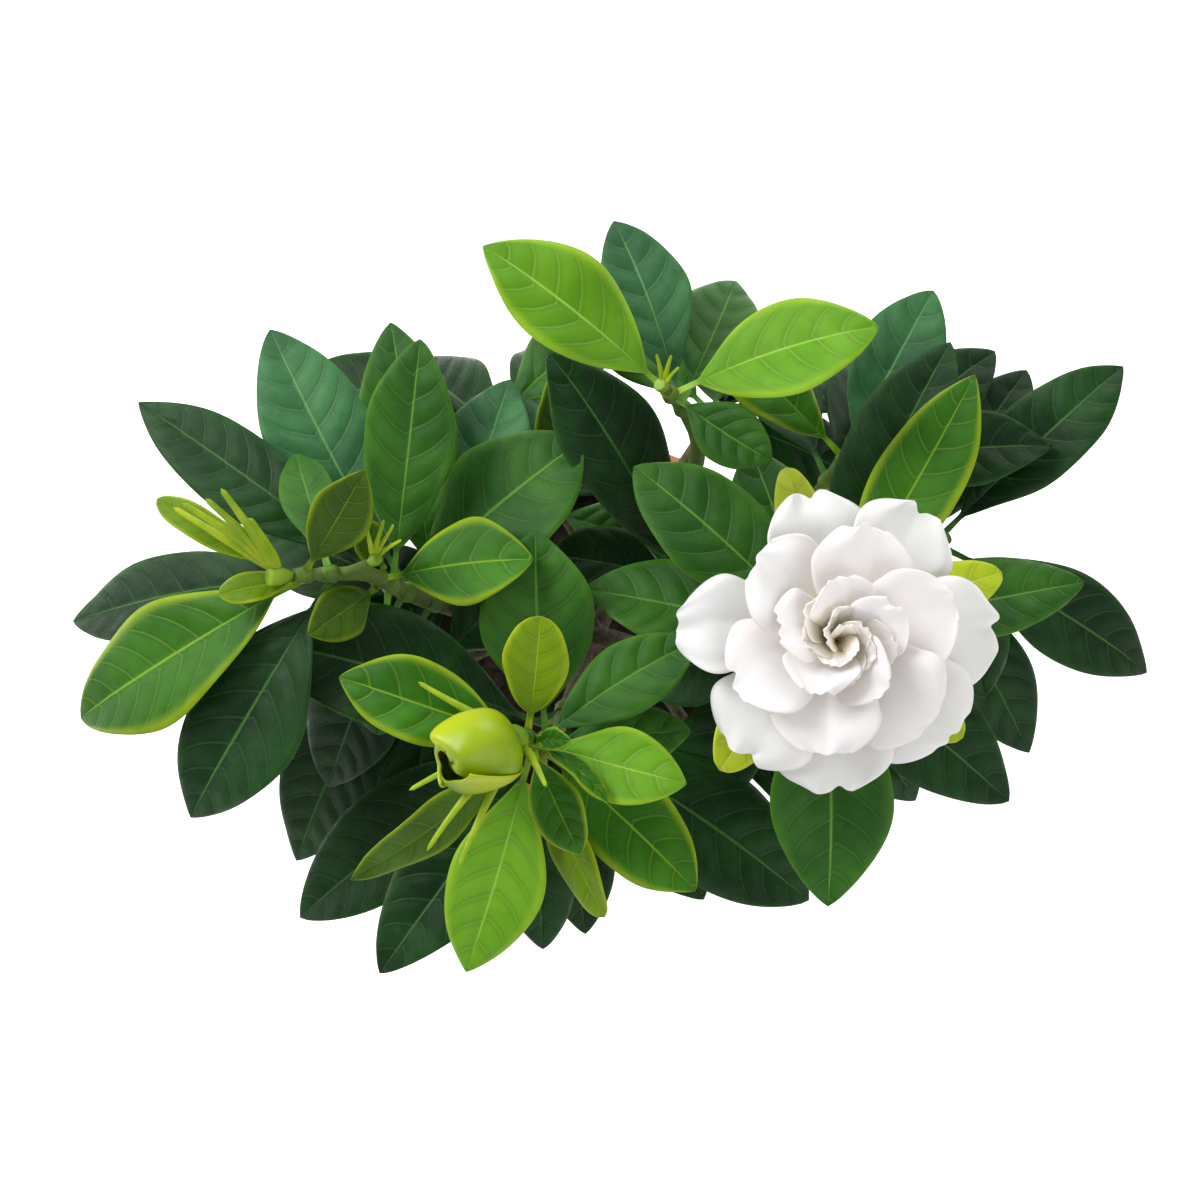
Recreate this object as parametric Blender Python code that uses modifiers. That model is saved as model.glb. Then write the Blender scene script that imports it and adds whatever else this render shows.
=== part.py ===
"""Potted double-flowered gardenia: pot, soil, branching stems, leaf whorls, buds and one open flower.

The model is in metres, +Z up, with its origin at the centre of the pot's underside. The tables
below are in millimetres and degrees. A compass angle runs counter-clockwise from +X as seen from
above, and a rise is the angle above the horizontal.
"""
import itertools
import math

import bmesh
import bpy
from mathutils import Matrix, Vector
from mathutils.bvhtree import BVHTree

MM = 0.001
GAP = 0.35
UP = Vector((0.0, 0.0, 1.0))

# Pot: a plain tapered terracotta pot with a rolled rim band and four small drain holes.
POT_HEIGHT = 138.0
POT_RIM_RADIUS = 81.0
POT_BASE_RADIUS = 56.0
POT_WALL = 6.0
POT_FLOOR = 8.0
RIM_BAND = 26.0
RIM_STEP = 4.5
RIM_ROUND = 2.0
POT_STEPS = 28
DRAIN_RADIUS = 2.8
DRAIN_CIRCLE = 32.0
DRAIN_COUNT = 4

# Soil: fills the pot to this height, slightly crowned towards the trunk.
SOIL_TOP = 117.0
SOIL_CROWN = 3.0
SOIL_STEPS = 24

# Stems: name, points along the axis, radius at the foot, radius at the tip. The first is the
# trunk and each later one starts inside a stem above it in the list.
STEMS = (
    ("trunk", ((0, 0, 98), (-1, -4, 125), (-4, -12, 155), (-5, -20, 188)), 6.4, 5.0),
    ("left", ((-5, -19, 182), (-30, -25, 206), (-54, -28, 228), (-67, -30, 247), (-75, -33, 267),
              (-84, -36, 275), (-97, -40, 283)), 3.9, 1.9),
    ("mid_bud", ((-83, -35.5, 274), (-78, -36.5, 280), (-73, -37, 286)), 1.8, 1.5),
    ("front", ((-5, -20, 183), (-7, -42, 198), (-14, -69, 221), (-20, -85, 248), (-23, -92, 279)),
     3.7, 2.0),
    ("back", ((-3, -11, 150), (7, -6, 190), (25, 4, 228), (33, 14, 260), (28, 18, 283), (21, 17, 300)),
     3.8, 2.0),
    ("flower", ((-5, -20, 181), (18, -35, 203), (44, -41, 218), (64, -42, 235), (71, -50, 256),
                (70, -59, 277)), 4.0, 2.3),
    ("inner", ((13, -32, 199), (25, -25, 218), (32, -21, 238)), 2.4, 1.9),
    ("right", ((14, -32, 199), (50, -20, 207), (85, -14, 216), (105, -11, 228), (119, -9, 243)),
     3.2, 2.0),
    ("rear_right", ((48, -20.6, 206.5), (63, 0, 218), (77, 13, 234), (86, 20, 252)), 2.6, 2.0),
    ("centre", ((-30, -25, 206), (-25, -9, 214), (-20, 1, 226), (-19, 5, 240)), 2.5, 1.9),
    ("left_front", ((-24, -24, 201), (-42, -38, 208), (-58, -50, 222)), 2.5, 1.9),
    ("rear_left", ((4, -7, 186), (-14, 18, 206), (-40, 42, 236)), 2.7, 2.0),
    ("rear_mid", ((4, -7, 182), (20, 22, 199), (44, 50, 226)), 2.7, 2.0),
    ("front_right", ((10, -30, 197), (26, -56, 202), (38, -80, 215)), 2.4, 1.9),
)
STEM_SAMPLES = 2
SHARP_ANGLE = 35
STEM_SIDES_RESOLUTION = 1

# Leaf blades: share of the length that is stalk, where the blade is widest, and its thickness.
STALK = 0.10
STALK_WIDTH = 2.4
TIP_WIDTH = 1.2
WIDEST = 1.12
LEAF_THICKNESS = 0.9
LEAF_FOLD = 0.20
LEAF_STATIONS = (0.0, 0.12, 0.40, 0.72, 1.0)
SHEATH_HEIGHT = 4.0
SHEATH_WALL = 1.1
SHEATH_FIT = 0.7
SHEATH_SIDES = 6

# Whorls: stem, distance below its tip, then the leaves as compass, rise, length, width, arch as
# a share of the length, and roll about the leaf's own line.
WHORLS = {
    "left_leaves_1": ("left", 4, (
        (202, -27, 95, 40, 0.07, 0), (42, 48, 42, 19, 0.05, 30), (196, 10, 26, 11, 0.08, 0),
    )),
    "left_leaves_2": ("left", 13, (
        (180, -21, 100, 30, 0.07, 0), (108, -8, 46, 18, 0.06, 0), (235, -22, 90, 40, 0.07, 0),
    )),
    "left_leaves_3": ("left", 35, (
        (0, 18, 50, 30, 0.05, 0), (150, 75, 30, 13, 0.05, 0), (230, 28, 32, 18, 0.08, -30),
    )),
    "left_leaves_4": ("left", 43, (
        (81, 33, 78, 30, 0.04, 0), (145, 8, 103, 29, 0.06, 0), (264, -32, 48, 28, 0.07, 0),
    )),
    "left_leaves_5": ("left", 53, (
        (35, 22, 75, 44, 0.07, 0), (119, 19, 99, 37, 0.05, 0), (243, -32, 72, 34, 0.07, 0),
    )),
    "left_leaves_6": ("left", 68, (
        (100, 20, 94, 33, 0.06, 0), (72, 12, 80, 34, 0.05, 0), (236, -15, 105, 38, 0.07, 0),
        (150, -14, 72, 38, 0.07, 0),
    )),
    "front_leaves_1": ("front", 3, (
        (81, 46, 38, 20, 0.05, 0), (340, 45, 16, 7, 0.10, 20), (319, 6, 30, 9, 0.10, -40),
    )),
    "front_leaves_2": ("front", 11, (
        (165, 15, 59, 27, 0.06, 0), (342, 10, 48, 25, 0.05, 0), (295, -10, 35, 18, 0.06, 25),
    )),
    "front_leaves_3": ("front", 21, (
        (252, -24, 73, 31, 0.07, 0), (31, 10, 58, 24, 0.05, 0), (219, 3, 68, 17, 0.06, -45),
    )),
    "front_leaves_4": ("front", 32, (
        (317, -4, 65, 30, 0.06, 0), (4, 6, 46, 21, 0.06, 0), (291, -2, 56, 16, 0.06, 50),
    )),
    "front_leaves_5": ("front", 44, (
        (93, 36, 66, 38, 0.05, 0), (233, -15, 90, 32, 0.07, 0), (269, -25, 66, 26, 0.07, 0),
    )),
    "front_leaves_6": ("front", 58, (
        (169, 10, 103, 42, 0.07, 0), (328, -12, 99, 41, 0.07, 0), (214, -14, 104, 37, 0.07, 0),
    )),
    "front_leaves_7": ("front", 74, (
        (275, -17, 73, 28, 0.07, 0), (201, 0, 86, 36, 0.06, 0), (307, -19, 76, 32, 0.07, 0),
    )),
    "back_leaves_1": ("back", 4, (
        (148, 23, 73, 34, 0.07, 0), (9, 22, 66, 34, 0.07, 0), (325, -5, 36, 20, 0.08, 30),
    )),
    "back_leaves_2": ("back", 15, (
        (110, 13, 64, 28, 0.06, 0), (70, -14, 58, 28, 0.07, 0),
    )),
    "flower_leaves_1": ("flower", 4, (
        (233, 3, 52, 20, 0.05, 0), (20, 3, 58, 20, 0.05, 0), (323, -2, 50, 19, 0.05, 0),
        (98, -2, 58, 16, 0.05, 0),
    )),
    "flower_leaves_2": ("flower", 13, (
        (138, 10, 78, 35, 0.06, 0), (58, 14, 96, 29, 0.05, 0), (271, -16, 82, 39, 0.06, 0),
    )),
    "flower_leaves_3": ("flower", 25, (
        (64, 12, 106, 32, 0.06, 0), (169, 3, 74, 31, 0.06, 0), (10, 5, 86, 28, 0.06, 0),
    )),
    "flower_leaves_4": ("flower", 38, (
        (322, -9, 84, 35, 0.07, 0), (195, -10, 55, 28, 0.07, 0), (105, 12, 62, 30, 0.07, 0),
    )),
    "flower_leaves_5": ("flower", 54, (
        (317, -22, 72, 31, 0.07, 0), (240, -18, 62, 30, 0.07, 0), (40, -8, 70, 32, 0.07, 0),
    )),
    "inner_leaves": ("inner", 4, (
        (128, 36, 90, 36, 0.06, 0), (110, 50, 46, 17, 0.05, 0), (172, 8, 46, 26, 0.07, 0),
    )),
    "right_leaves_1": ("right", 4, (
        (41, 15, 86, 30, 0.06, 0), (331, -12, 82, 33, 0.07, 0), (285, -14, 52, 26, 0.07, 0),
    )),
    "right_leaves_2": ("right", 17, (
        (56, 9, 80, 29, 0.06, 0), (304, -20, 77, 31, 0.07, 0), (98, 0, 62, 28, 0.08, 0),
    )),
    "rear_right_leaves_1": ("rear_right", 4, (
        (59, 25, 62, 30, 0.06, 0), (140, 17, 62, 26, 0.06, 0), (359, 6, 67, 27, 0.06, 0),
    )),
    "rear_right_leaves_2": ("rear_right", 16, (
        (38, 0, 75, 28, 0.07, 0), (68, -16, 75, 32, 0.08, 0), (110, -20, 78, 32, 0.08, 0),
    )),
    "centre_leaves": ("centre", 4, (
        (340, 12, 42, 24, 0.07, 0), (108, 22, 46, 25, 0.05, 0), (84, 34, 48, 15, 0.05, 35),
        (40, 0, 50, 24, 0.07, 0), (165, -8, 50, 26, 0.07, 0),
    )),
    "left_front_leaves": ("left_front", 4, (
        (214, -17, 66, 33, 0.07, 0), (245, -22, 82, 34, 0.07, 0), (283, -26, 62, 30, 0.08, 0),
        (116, -8, 52, 34, 0.07, 0), (58, -5, 50, 34, 0.07, 0),
    )),
    "rear_left_leaves_1": ("rear_left", 4, (
        (165, -4, 74, 33, 0.09, 0), (225, 6, 60, 28, 0.08, 0),
        (40, 4, 58, 28, 0.08, 0),
    )),
    "rear_left_leaves_2": ("rear_left", 17, (
        (130, -26, 76, 34, 0.09, 0), (75, -28, 70, 32, 0.09, 0), (190, -26, 74, 32, 0.09, 0),
    )),
    "rear_mid_leaves": ("rear_mid", 4, (
        (85, -34, 56, 32, 0.09, 0), (30, -10, 72, 33, 0.09, 0), (135, 0, 62, 30, 0.08, 0),
        (345, -24, 60, 30, 0.08, 0), (62, -36, 62, 30, 0.09, 0),
    )),
    "front_right_leaves": ("front_right", 4, (
        (290, -22, 48, 26, 0.08, 0), (350, -18, 64, 30, 0.08, 0), (235, -20, 50, 26, 0.08, 0),
    )),
}

# Settling: each blade tries these changes of compass, rise and roll, the smallest first, until it
# is clear of the others.
TURN_TRIALS = range(-28, 29, 7)
RISE_TRIALS = range(-36, 37, 3)
ROLL_TRIALS = range(-30, 31, 10)
TRIALS = sorted(itertools.product(TURN_TRIALS, RISE_TRIALS, ROLL_TRIALS),
                key=lambda trial: 1.2 * abs(trial[0]) + abs(trial[1]) + 0.5 * abs(trial[2]))
SETTLE_CLEARANCE = 0.65

# Flower: a calyx and corolla tube on the flower stem, then three rings of petals and a heart.
FLOWER_AXIS = Vector((0.03, -0.36, 0.93)).normalized()
CALYX_LENGTH = 9.0
CALYX_RADIUS = 4.2
TUBE_LENGTH = 10.0
TUBE_STEPS = 12
TUBE_FOOT_RADIUS = 2.6
SEAT_RADII = (9.4, 6.9, 4.6, 2.6)
SEAT_RISE = 1.9
PETAL_THICKNESS = 0.8
PETAL_STATIONS = (0.0, 0.16, 0.42, 0.70, 0.90, 1.0)
# Petals: turn about the flower's axis from the sideways direction, rise above the flower's
# plane, length, width, arch, roll and cup (the fold across the petal).
OUTER_PETALS = (
    (101, 8, 37, 30, 0.06, 10, 0.10), (55, 8, 40, 32, 0.06, 10, 0.10), (4, 8, 42, 33, 0.06, 10, 0.10),
    (-42, 8, 39, 35, 0.06, 10, 0.10), (-88, 8, 38, 34, 0.06, 10, 0.10),
    (-131, 8, 37, 33, 0.06, 10, 0.10), (171, 10, 40, 28, 0.05, 10, 0.16),
)
MIDDLE_PETALS = (
    (75, 30, 32, 30, 0.10, 16, 0.14), (18, 30, 33, 31, 0.10, 16, 0.14),
    (-42, 30, 33, 32, 0.10, 16, 0.14), (-100, 30, 32, 31, 0.10, 16, 0.14),
    (-158, 30, 32, 31, 0.10, 16, 0.14), (138, 30, 32, 30, 0.10, 16, 0.14),
)
INNER_PETALS = (
    (95, 56, 24, 21, 0.12, 16, 0.20), (23, 56, 24, 21, 0.12, 16, 0.20),
    (-49, 56, 24, 21, 0.12, 16, 0.20), (-121, 56, 24, 21, 0.12, 16, 0.20),
    (167, 56, 24, 21, 0.12, 16, 0.20),
)
# Rings from the outermost: name of the petals, table, and width of a petal's root.
PETAL_RINGS = (("outer_petal", OUTER_PETALS), ("middle_petal", MIDDLE_PETALS), ("inner_petal", INNER_PETALS))
PETAL_ROOTS = (6.2, 4.9, 3.5)
PETAL_WIDEST = 0.62
PETAL_END = 0.41
PETAL_CLEARANCE = 0.15
ROLL_LIFT = 3.0
HEART_RADIUS = 3.6
HEART_LENGTH = 17.0

# Cups under the buds and the flower, as shares of radius and length, and the lobes on them.
HUB_FOOT = 0.45
HUB_WAIST = 0.55
HUB_STEPS = 8
LOBE_HEIGHT = 0.7
LOBE_SINK = 0.6
LOBE_STATIONS = (0.0, 0.5, 1.0)
LOBE_ROOT = 1.6
LOBE_FOLD = 0.1

# Buds and their narrow green lobes: compass, rise, length, width, arch, roll.
FRONT_BUD_AXIS = Vector((-0.64, -0.46, 0.61)).normalized()
FRONT_BUD_LENGTH = 28.0
FRONT_BUD_RADIUS = 12.2
FRONT_CUP_LENGTH = 7.0
FRONT_CUP_RADIUS = 5.0
FLOWER_LOBES = tuple((turned, 20, 20, 4, 0.10, 0) for turned in range(0, 360, 60))
FRONT_LOBES = (
    (158, 12, 30, 4, 0.08, 0), (203, -6, 32, 4, 0.06, 0), (226, -8, 39, 4, 0.06, 0),
    (243, -8, 38, 4, 0.06, 0), (300, 30, 20, 4, 0.10, 0),
)
LEFT_LOBES = (
    (141, 45, 34, 5, 0.08, 0), (152, 35, 36, 5, 0.08, 0), (160, 25, 36, 5, 0.08, 0),
    (133, 54, 34, 5, 0.08, 0), (118, 50, 20, 7, 0.08, 0), (152, 16, 42, 11, 0.08, 0),
)
MID_LOBES = (
    (62, 48, 14, 2.6, 0.08, 0), (38, 44, 14, 2.6, 0.08, 0), (20, 38, 12, 2.6, 0.08, 0),
    (100, 50, 10, 2.6, 0.08, 0),
)
BACK_LOBES = (
    (115, 60, 11, 2.6, 0.08, 0), (70, 66, 12, 2.6, 0.08, 0), (20, 60, 9, 2.6, 0.08, 0),
)

# Tufts: name, stem, lobes, radius and length of the cup.
TUFTS = (
    ("left_bud", "left", LEFT_LOBES, 3.2, 8.0),
    ("mid_bud", "mid_bud", MID_LOBES, 2.0, 5.0),
    ("back_bud", "back", BACK_LOBES, 2.2, 5.0),
)
# Pointed eggs: segments round, rings along, twist in radians, and how much the tip draws in.
FRONT_BUD_GRID = (12, 9, 1.0)
HEART_GRID = (8, 6, 1.2)
BUD_TAPER = 0.35

COLOURS = {
    "terracotta": ((0.58, 0.24, 0.12), 0.85),
    "potting_soil": ((0.035, 0.022, 0.015), 0.95),
    "bark": ((0.16, 0.12, 0.06), 0.80),
    "mature_leaf": ((0.02, 0.10, 0.03), 0.35),
    "young_leaf": ((0.16, 0.34, 0.03), 0.38),
    "bud_green": ((0.22, 0.38, 0.04), 0.45),
    "petal": ((0.86, 0.85, 0.80), 0.55),
    "flower_heart": ((0.72, 0.55, 0.22), 0.60),
}
YOUNG_WHORLS = ("front_leaves_1", "front_leaves_2", "left_leaves_3", "back_leaves_1", "flower_leaves_1")


def clear_scene():
    for item in list(bpy.data.objects):
        bpy.data.objects.remove(item)


def make_collection(name):
    collection = bpy.data.collections.new(name)
    bpy.context.scene.collection.children.link(collection)
    return collection


def make_material(name, kind):
    colour, roughness = COLOURS[kind]
    material = bpy.data.materials.new(name + "_" + kind)
    material.use_nodes = True
    shader = material.node_tree.nodes["Principled BSDF"]
    shader.inputs["Base Color"].default_value = (*colour, 1.0)
    shader.inputs["Roughness"].default_value = roughness
    shader.inputs["Metallic"].default_value = 0.0
    return material


def add_part(name, mesh, kind, matrix=None):
    item = bpy.data.objects.new(name, mesh)
    mesh.materials.clear()
    mesh.materials.append(make_material(name, kind))
    if matrix is not None:
        item.matrix_world = matrix
    parts.objects.link(item)
    return item


def add_guide(name, mesh, matrix=None):
    """A shape that only cuts or joins another: it isn't a part itself."""
    item = bpy.data.objects.new(name, mesh)
    if matrix is not None:
        item.matrix_world = matrix
    item.hide_render = True
    item.display_type = "WIRE"
    cutters.objects.link(item)
    return item


def boolean(item, operand, operation):
    modifier = item.modifiers.new(operand.name, "BOOLEAN")
    modifier.operation = operation
    modifier.object = operand
    modifier.solver = "EXACT"


def frame_along(axis, place):
    """A frame whose Z runs along axis, standing at place (mm)."""
    return Matrix.Translation(Vector(place) * MM) @ axis.to_track_quat("Z", "Y").to_matrix().to_4x4()


def smooth_path(points):
    """Catmull-Rom curve through the points, with STEM_SAMPLES stretches between each pair."""
    ends = [Vector(point) for point in points]
    ends = [2 * ends[0] - ends[1]] + ends + [2 * ends[-1] - ends[-2]]
    path = []
    for index in range(1, len(ends) - 2):
        before, start, end, after = ends[index - 1:index + 3]
        for step in range(STEM_SAMPLES):
            t = step / STEM_SAMPLES
            path.append(0.5 * (2 * start + (end - before) * t
                               + (2 * before - 5 * start + 4 * end - after) * t ** 2
                               + (3 * start - before - 3 * end + after) * t ** 3))
    path.append(ends[-2])
    return path


def tube_mesh(name, path, foot, tip, extra=0.0):
    """A closed tapered tube along the path; extra widens it evenly."""
    curve = bpy.data.curves.new(name, "CURVE")
    curve.dimensions = "3D"
    curve.bevel_depth = MM
    curve.bevel_resolution = STEM_SIDES_RESOLUTION
    curve.use_fill_caps = True
    spline = curve.splines.new("POLY")
    spline.points.add(len(path) - 1)
    for index, place in enumerate(path):
        share = index / (len(path) - 1)
        spline.points[index].co = (*(place * MM), 1.0)
        spline.points[index].radius = foot + (tip - foot) * share + extra
    holder = bpy.data.objects.new(name, curve)
    bpy.context.scene.collection.objects.link(holder)
    bpy.context.view_layer.update()
    evaluated = holder.evaluated_get(bpy.context.evaluated_depsgraph_get())
    mesh = bpy.data.meshes.new_from_object(evaluated)
    bpy.data.objects.remove(holder)
    weld(mesh)
    return mesh


def weld(mesh):
    shape = bmesh.new()
    shape.from_mesh(mesh)
    bmesh.ops.remove_doubles(shape, verts=shape.verts, dist=1e-6)
    bmesh.ops.recalc_face_normals(shape, faces=shape.faces)
    shape.to_mesh(mesh)
    shape.free()


def profile_mesh(name, profile, closed=False):
    """A line of (radius, height) points in mm, ready for a Screw modifier."""
    mesh = bpy.data.meshes.new(name)
    shape = bmesh.new()
    corners = [shape.verts.new((radius * MM, 0.0, height * MM)) for radius, height in profile]
    for first, second in zip(corners, corners[1:]):
        shape.edges.new((first, second))
    if closed:
        shape.edges.new((corners[-1], corners[0]))
    shape.to_mesh(mesh)
    shape.free()
    return mesh


def turn(item, steps):
    screw = item.modifiers.new("turn", "SCREW")
    screw.steps = steps
    screw.render_steps = steps
    screw.use_merge_vertices = True
    screw.merge_threshold = 1e-5
    screw.use_smooth_shade = True


def add_turned(name, profile, steps, kind, matrix=None, closed=False):
    item = add_part(name, profile_mesh(name, profile, closed), kind, matrix)
    turn(item, steps)
    return item


def disc_cutter(name, radius, depth, place):
    mesh = bpy.data.meshes.new(name)
    shape = bmesh.new()
    bmesh.ops.create_cone(shape, cap_ends=True, segments=8, radius1=radius * MM,
                          radius2=radius * MM, depth=depth * MM)
    shape.to_mesh(mesh)
    shape.free()
    return add_guide(name, mesh, Matrix.Translation(Vector(place) * MM))


def wall_radius(height):
    """Outer radius of the pot's plain wall at a height."""
    return POT_BASE_RADIUS + (POT_RIM_RADIUS - RIM_STEP - POT_BASE_RADIUS) * height / POT_HEIGHT


def build_pot():
    band = POT_HEIGHT - RIM_BAND
    inner = [(wall_radius(height) - POT_WALL, height) for height in (POT_FLOOR, SOIL_TOP)]
    profile = [(0.0, POT_FLOOR)] + inner + [
        (wall_radius(POT_HEIGHT) - POT_WALL + 1.0, POT_HEIGHT - RIM_ROUND),
        (wall_radius(POT_HEIGHT) - POT_WALL + 3.0, POT_HEIGHT),
        (POT_RIM_RADIUS - RIM_ROUND, POT_HEIGHT),
        (POT_RIM_RADIUS, POT_HEIGHT - RIM_ROUND),
        (POT_RIM_RADIUS - 1.5, band + 1.5),
        (POT_RIM_RADIUS - 3.0, band),
        (wall_radius(band), band - 1.0),
        (wall_radius(RIM_ROUND), RIM_ROUND),
        (POT_BASE_RADIUS - RIM_ROUND, 0.0),
        (0.0, 0.0),
    ]
    pot = add_turned("pot", profile, POT_STEPS, "terracotta")
    for index in range(DRAIN_COUNT):
        angle = math.tau * (index + 0.5) / DRAIN_COUNT
        place = (DRAIN_CIRCLE * math.cos(angle), DRAIN_CIRCLE * math.sin(angle), POT_FLOOR / 2)
        boolean(pot, disc_cutter("drain_%d" % index, DRAIN_RADIUS, POT_FLOOR * 2, place), "DIFFERENCE")


def build_soil(trunk_path):
    foot = POT_FLOOR + GAP
    fit = math.cos(math.pi / POT_STEPS)
    profile = [
        (0.0, SOIL_TOP + SOIL_CROWN),
        (24.0, SOIL_TOP + SOIL_CROWN - 1.0),
        (50.0, SOIL_TOP + 0.5),
        ((wall_radius(SOIL_TOP) - POT_WALL) * fit - GAP, SOIL_TOP - 1.0),
        ((wall_radius(foot) - POT_WALL) * fit - GAP, foot),
        (0.0, foot),
    ]
    soil = add_turned("soil", profile, SOIL_STEPS, "potting_soil")
    deeper = [trunk_path[0] + Vector((0, 0, -GAP))] + trunk_path[1:]
    socket = tube_mesh("trunk_socket", deeper, STEMS[0][2], STEMS[0][3], GAP * 1.3)
    boolean(soil, add_guide("trunk_socket", socket), "DIFFERENCE")


def build_stems():
    """One grown piece: the trunk with every shoot joined to it."""
    paths = {}
    stems = None
    for name, points, foot, tip in STEMS:
        paths[name] = smooth_path(points)
        mesh = tube_mesh(name + "_stem", paths[name], foot, tip)
        if stems is None:
            stems = add_part("stems", mesh, "bark")
        else:
            boolean(stems, add_guide(name + "_stem", mesh), "UNION")
    return stems, paths


def along(path, below):
    """Place and direction at a distance below the path's tip."""
    left = below
    for index in range(len(path) - 1, 0, -1):
        stretch = path[index] - path[index - 1]
        if left <= stretch.length:
            return path[index] - stretch.normalized() * left, stretch.normalized()
        left -= stretch.length
    raise ValueError("the stem is shorter than %g mm" % below)


def stem_radius(name, path, below):
    foot, tip = [row[2:4] for row in STEMS if row[0] == name][0]
    whole = sum((second - first).length for first, second in zip(path, path[1:]))
    return tip + (foot - tip) * below / whole


def leaf_share(t):
    """Half width of a leaf at t along it, as a share of its widest half width."""
    if t <= STALK:
        return 0.0
    return math.sin(math.pi * ((t - STALK) / (1.0 - STALK)) ** WIDEST) ** 0.8


def leaf_half(t, width, root):
    edge = root / 2 if t < 0.5 else TIP_WIDTH / 2
    return max(edge, width / 2 * leaf_share(t))


def petal_half(t, width, root):
    """A petal widens from its root to a broad round end."""
    if t < PETAL_WIDEST:
        share = math.sin(math.pi / 2 * t / PETAL_WIDEST) ** 1.1
    else:
        share = math.sqrt(1.0 - ((t - PETAL_WIDEST) / PETAL_END) ** 2)
    return root / 2 + (width / 2 - root / 2) * share


def blade_rows(stations, half_width, row, root, fold):
    """Local points of a blade: X along its line, Y across, Z to its upper side."""
    length, width, arch = row[2:5]
    rows = []
    for t in stations:
        half = half_width(t, width, root)
        bow = 4.0 * arch * length * t * (1.0 - t)
        edge = bow + fold * half
        rows.append([Vector((t * length, side * half, edge if side else bow)) for side in (-1, 0, 1)])
    return rows


def blade_frame(row, axis, sideways, place):
    """Frame of a blade: compass and rise are taken about axis, starting from sideways."""
    turned, rise, roll = (math.radians(row[index]) for index in (0, 1, 5))
    flat = Matrix.Rotation(turned, 3, axis) @ sideways
    line = math.cos(rise) * flat + math.sin(rise) * axis
    upper = math.cos(rise) * axis - math.sin(rise) * flat
    upper = Matrix.Rotation(roll, 3, line) @ upper
    across = upper.cross(line)
    frame = Matrix((line, across, upper)).transposed().to_4x4()
    frame.translation = place
    return frame


def sheets(rows, frame, spread, first=0):
    """Search tree of the blade's two faces, each moved outwards by spread."""
    points = []
    faces = []
    for offset in (-spread, spread):
        start = len(points)
        for line in rows[first:]:
            points.extend(frame @ (point + Vector((0, 0, offset))) for point in line)
        for index in range(len(rows) - first - 1):
            for side in (0, 1):
                corner = start + index * 3 + side
                faces.append((corner, corner + 1, corner + 4, corner + 3))
    return BVHTree.FromPolygons(points, faces)


def mesh_tree(mesh, matrix=Matrix.Identity(4)):
    points = [matrix @ vertex.co / MM for vertex in mesh.vertices]
    return BVHTree.FromPolygons(points, [tuple(face.vertices) for face in mesh.polygons])


def placed_tree(item):
    bpy.context.view_layer.update()
    evaluated = item.evaluated_get(bpy.context.evaluated_depsgraph_get())
    return mesh_tree(evaluated.to_mesh(), evaluated.matrix_world)


def blade_mesh(name, rows):
    """A grid of quads bent to the rows of local points."""
    mesh = bpy.data.meshes.new(name)
    shape = bmesh.new()
    stretches = len(rows) - 1
    bmesh.ops.create_grid(shape, x_segments=stretches, y_segments=2, size=0.5)
    for vertex in shape.verts:
        index = round((vertex.co.x + 0.5) * stretches)
        side = round((vertex.co.y + 0.5) * 2)
        vertex.co = rows[index][side] * MM
    shape.to_mesh(mesh)
    shape.free()
    return mesh


def thicken(item, thickness):
    solidify = item.modifiers.new("thickness", "SOLIDIFY")
    solidify.thickness = thickness * MM
    solidify.offset = 0.0
    solidify.use_even_offset = False


def metres(frame):
    scaled = frame.copy()
    scaled.translation = frame.translation * MM
    return scaled


class Settler:
    """Keeps what is already placed, and finds a clear pose for each new blade."""

    def __init__(self):
        self.placed = []

    def add(self, tree, owner, whole=True):
        self.placed.append((tree, owner, whole))

    def is_clear(self, full, blade, owner):
        for tree, other, whole in self.placed:
            if other == owner and whole:
                continue
            if (blade if other == owner else full).overlap(tree):
                return False
        return True

    def settle(self, name, row, owner, spread, make_rows, make_frame):
        for turned, rise, roll in TRIALS:
            trial = (row[0] + turned, row[1] + rise, *row[2:5], row[5] + roll, *row[6:])
            rows = make_rows(trial)
            frame = make_frame(trial)
            full = sheets(rows, frame, spread)
            blade = sheets(rows, frame, spread, 1)
            if self.is_clear(full, blade, owner):
                self.add(full, owner)
                self.add(blade, owner, False)
                return rows, frame
        raise ValueError("no clear pose for " + name)


def sheath_radius(stem, below, paths):
    """Inner radius of a sheath at its corners: its flats clear the stem by the gap."""
    return (stem_radius(stem, paths[stem], below) + SHEATH_FIT) / math.cos(math.pi / SHEATH_SIDES)


def build_sheath(name, stem, below, kind, paths, settler):
    """The short sleeve round the stem from which a whorl's leaves grow."""
    place, axis = along(paths[stem], below)
    inner = sheath_radius(stem, below, paths)
    outer = inner + SHEATH_WALL
    half = SHEATH_HEIGHT / 2
    profile = [(inner, -half), (inner, half), (outer, half), (outer, -half)]
    sheath = add_turned(name, profile, SHEATH_SIDES, kind, frame_along(axis, place), closed=True)
    settler.add(placed_tree(sheath), name)


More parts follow.
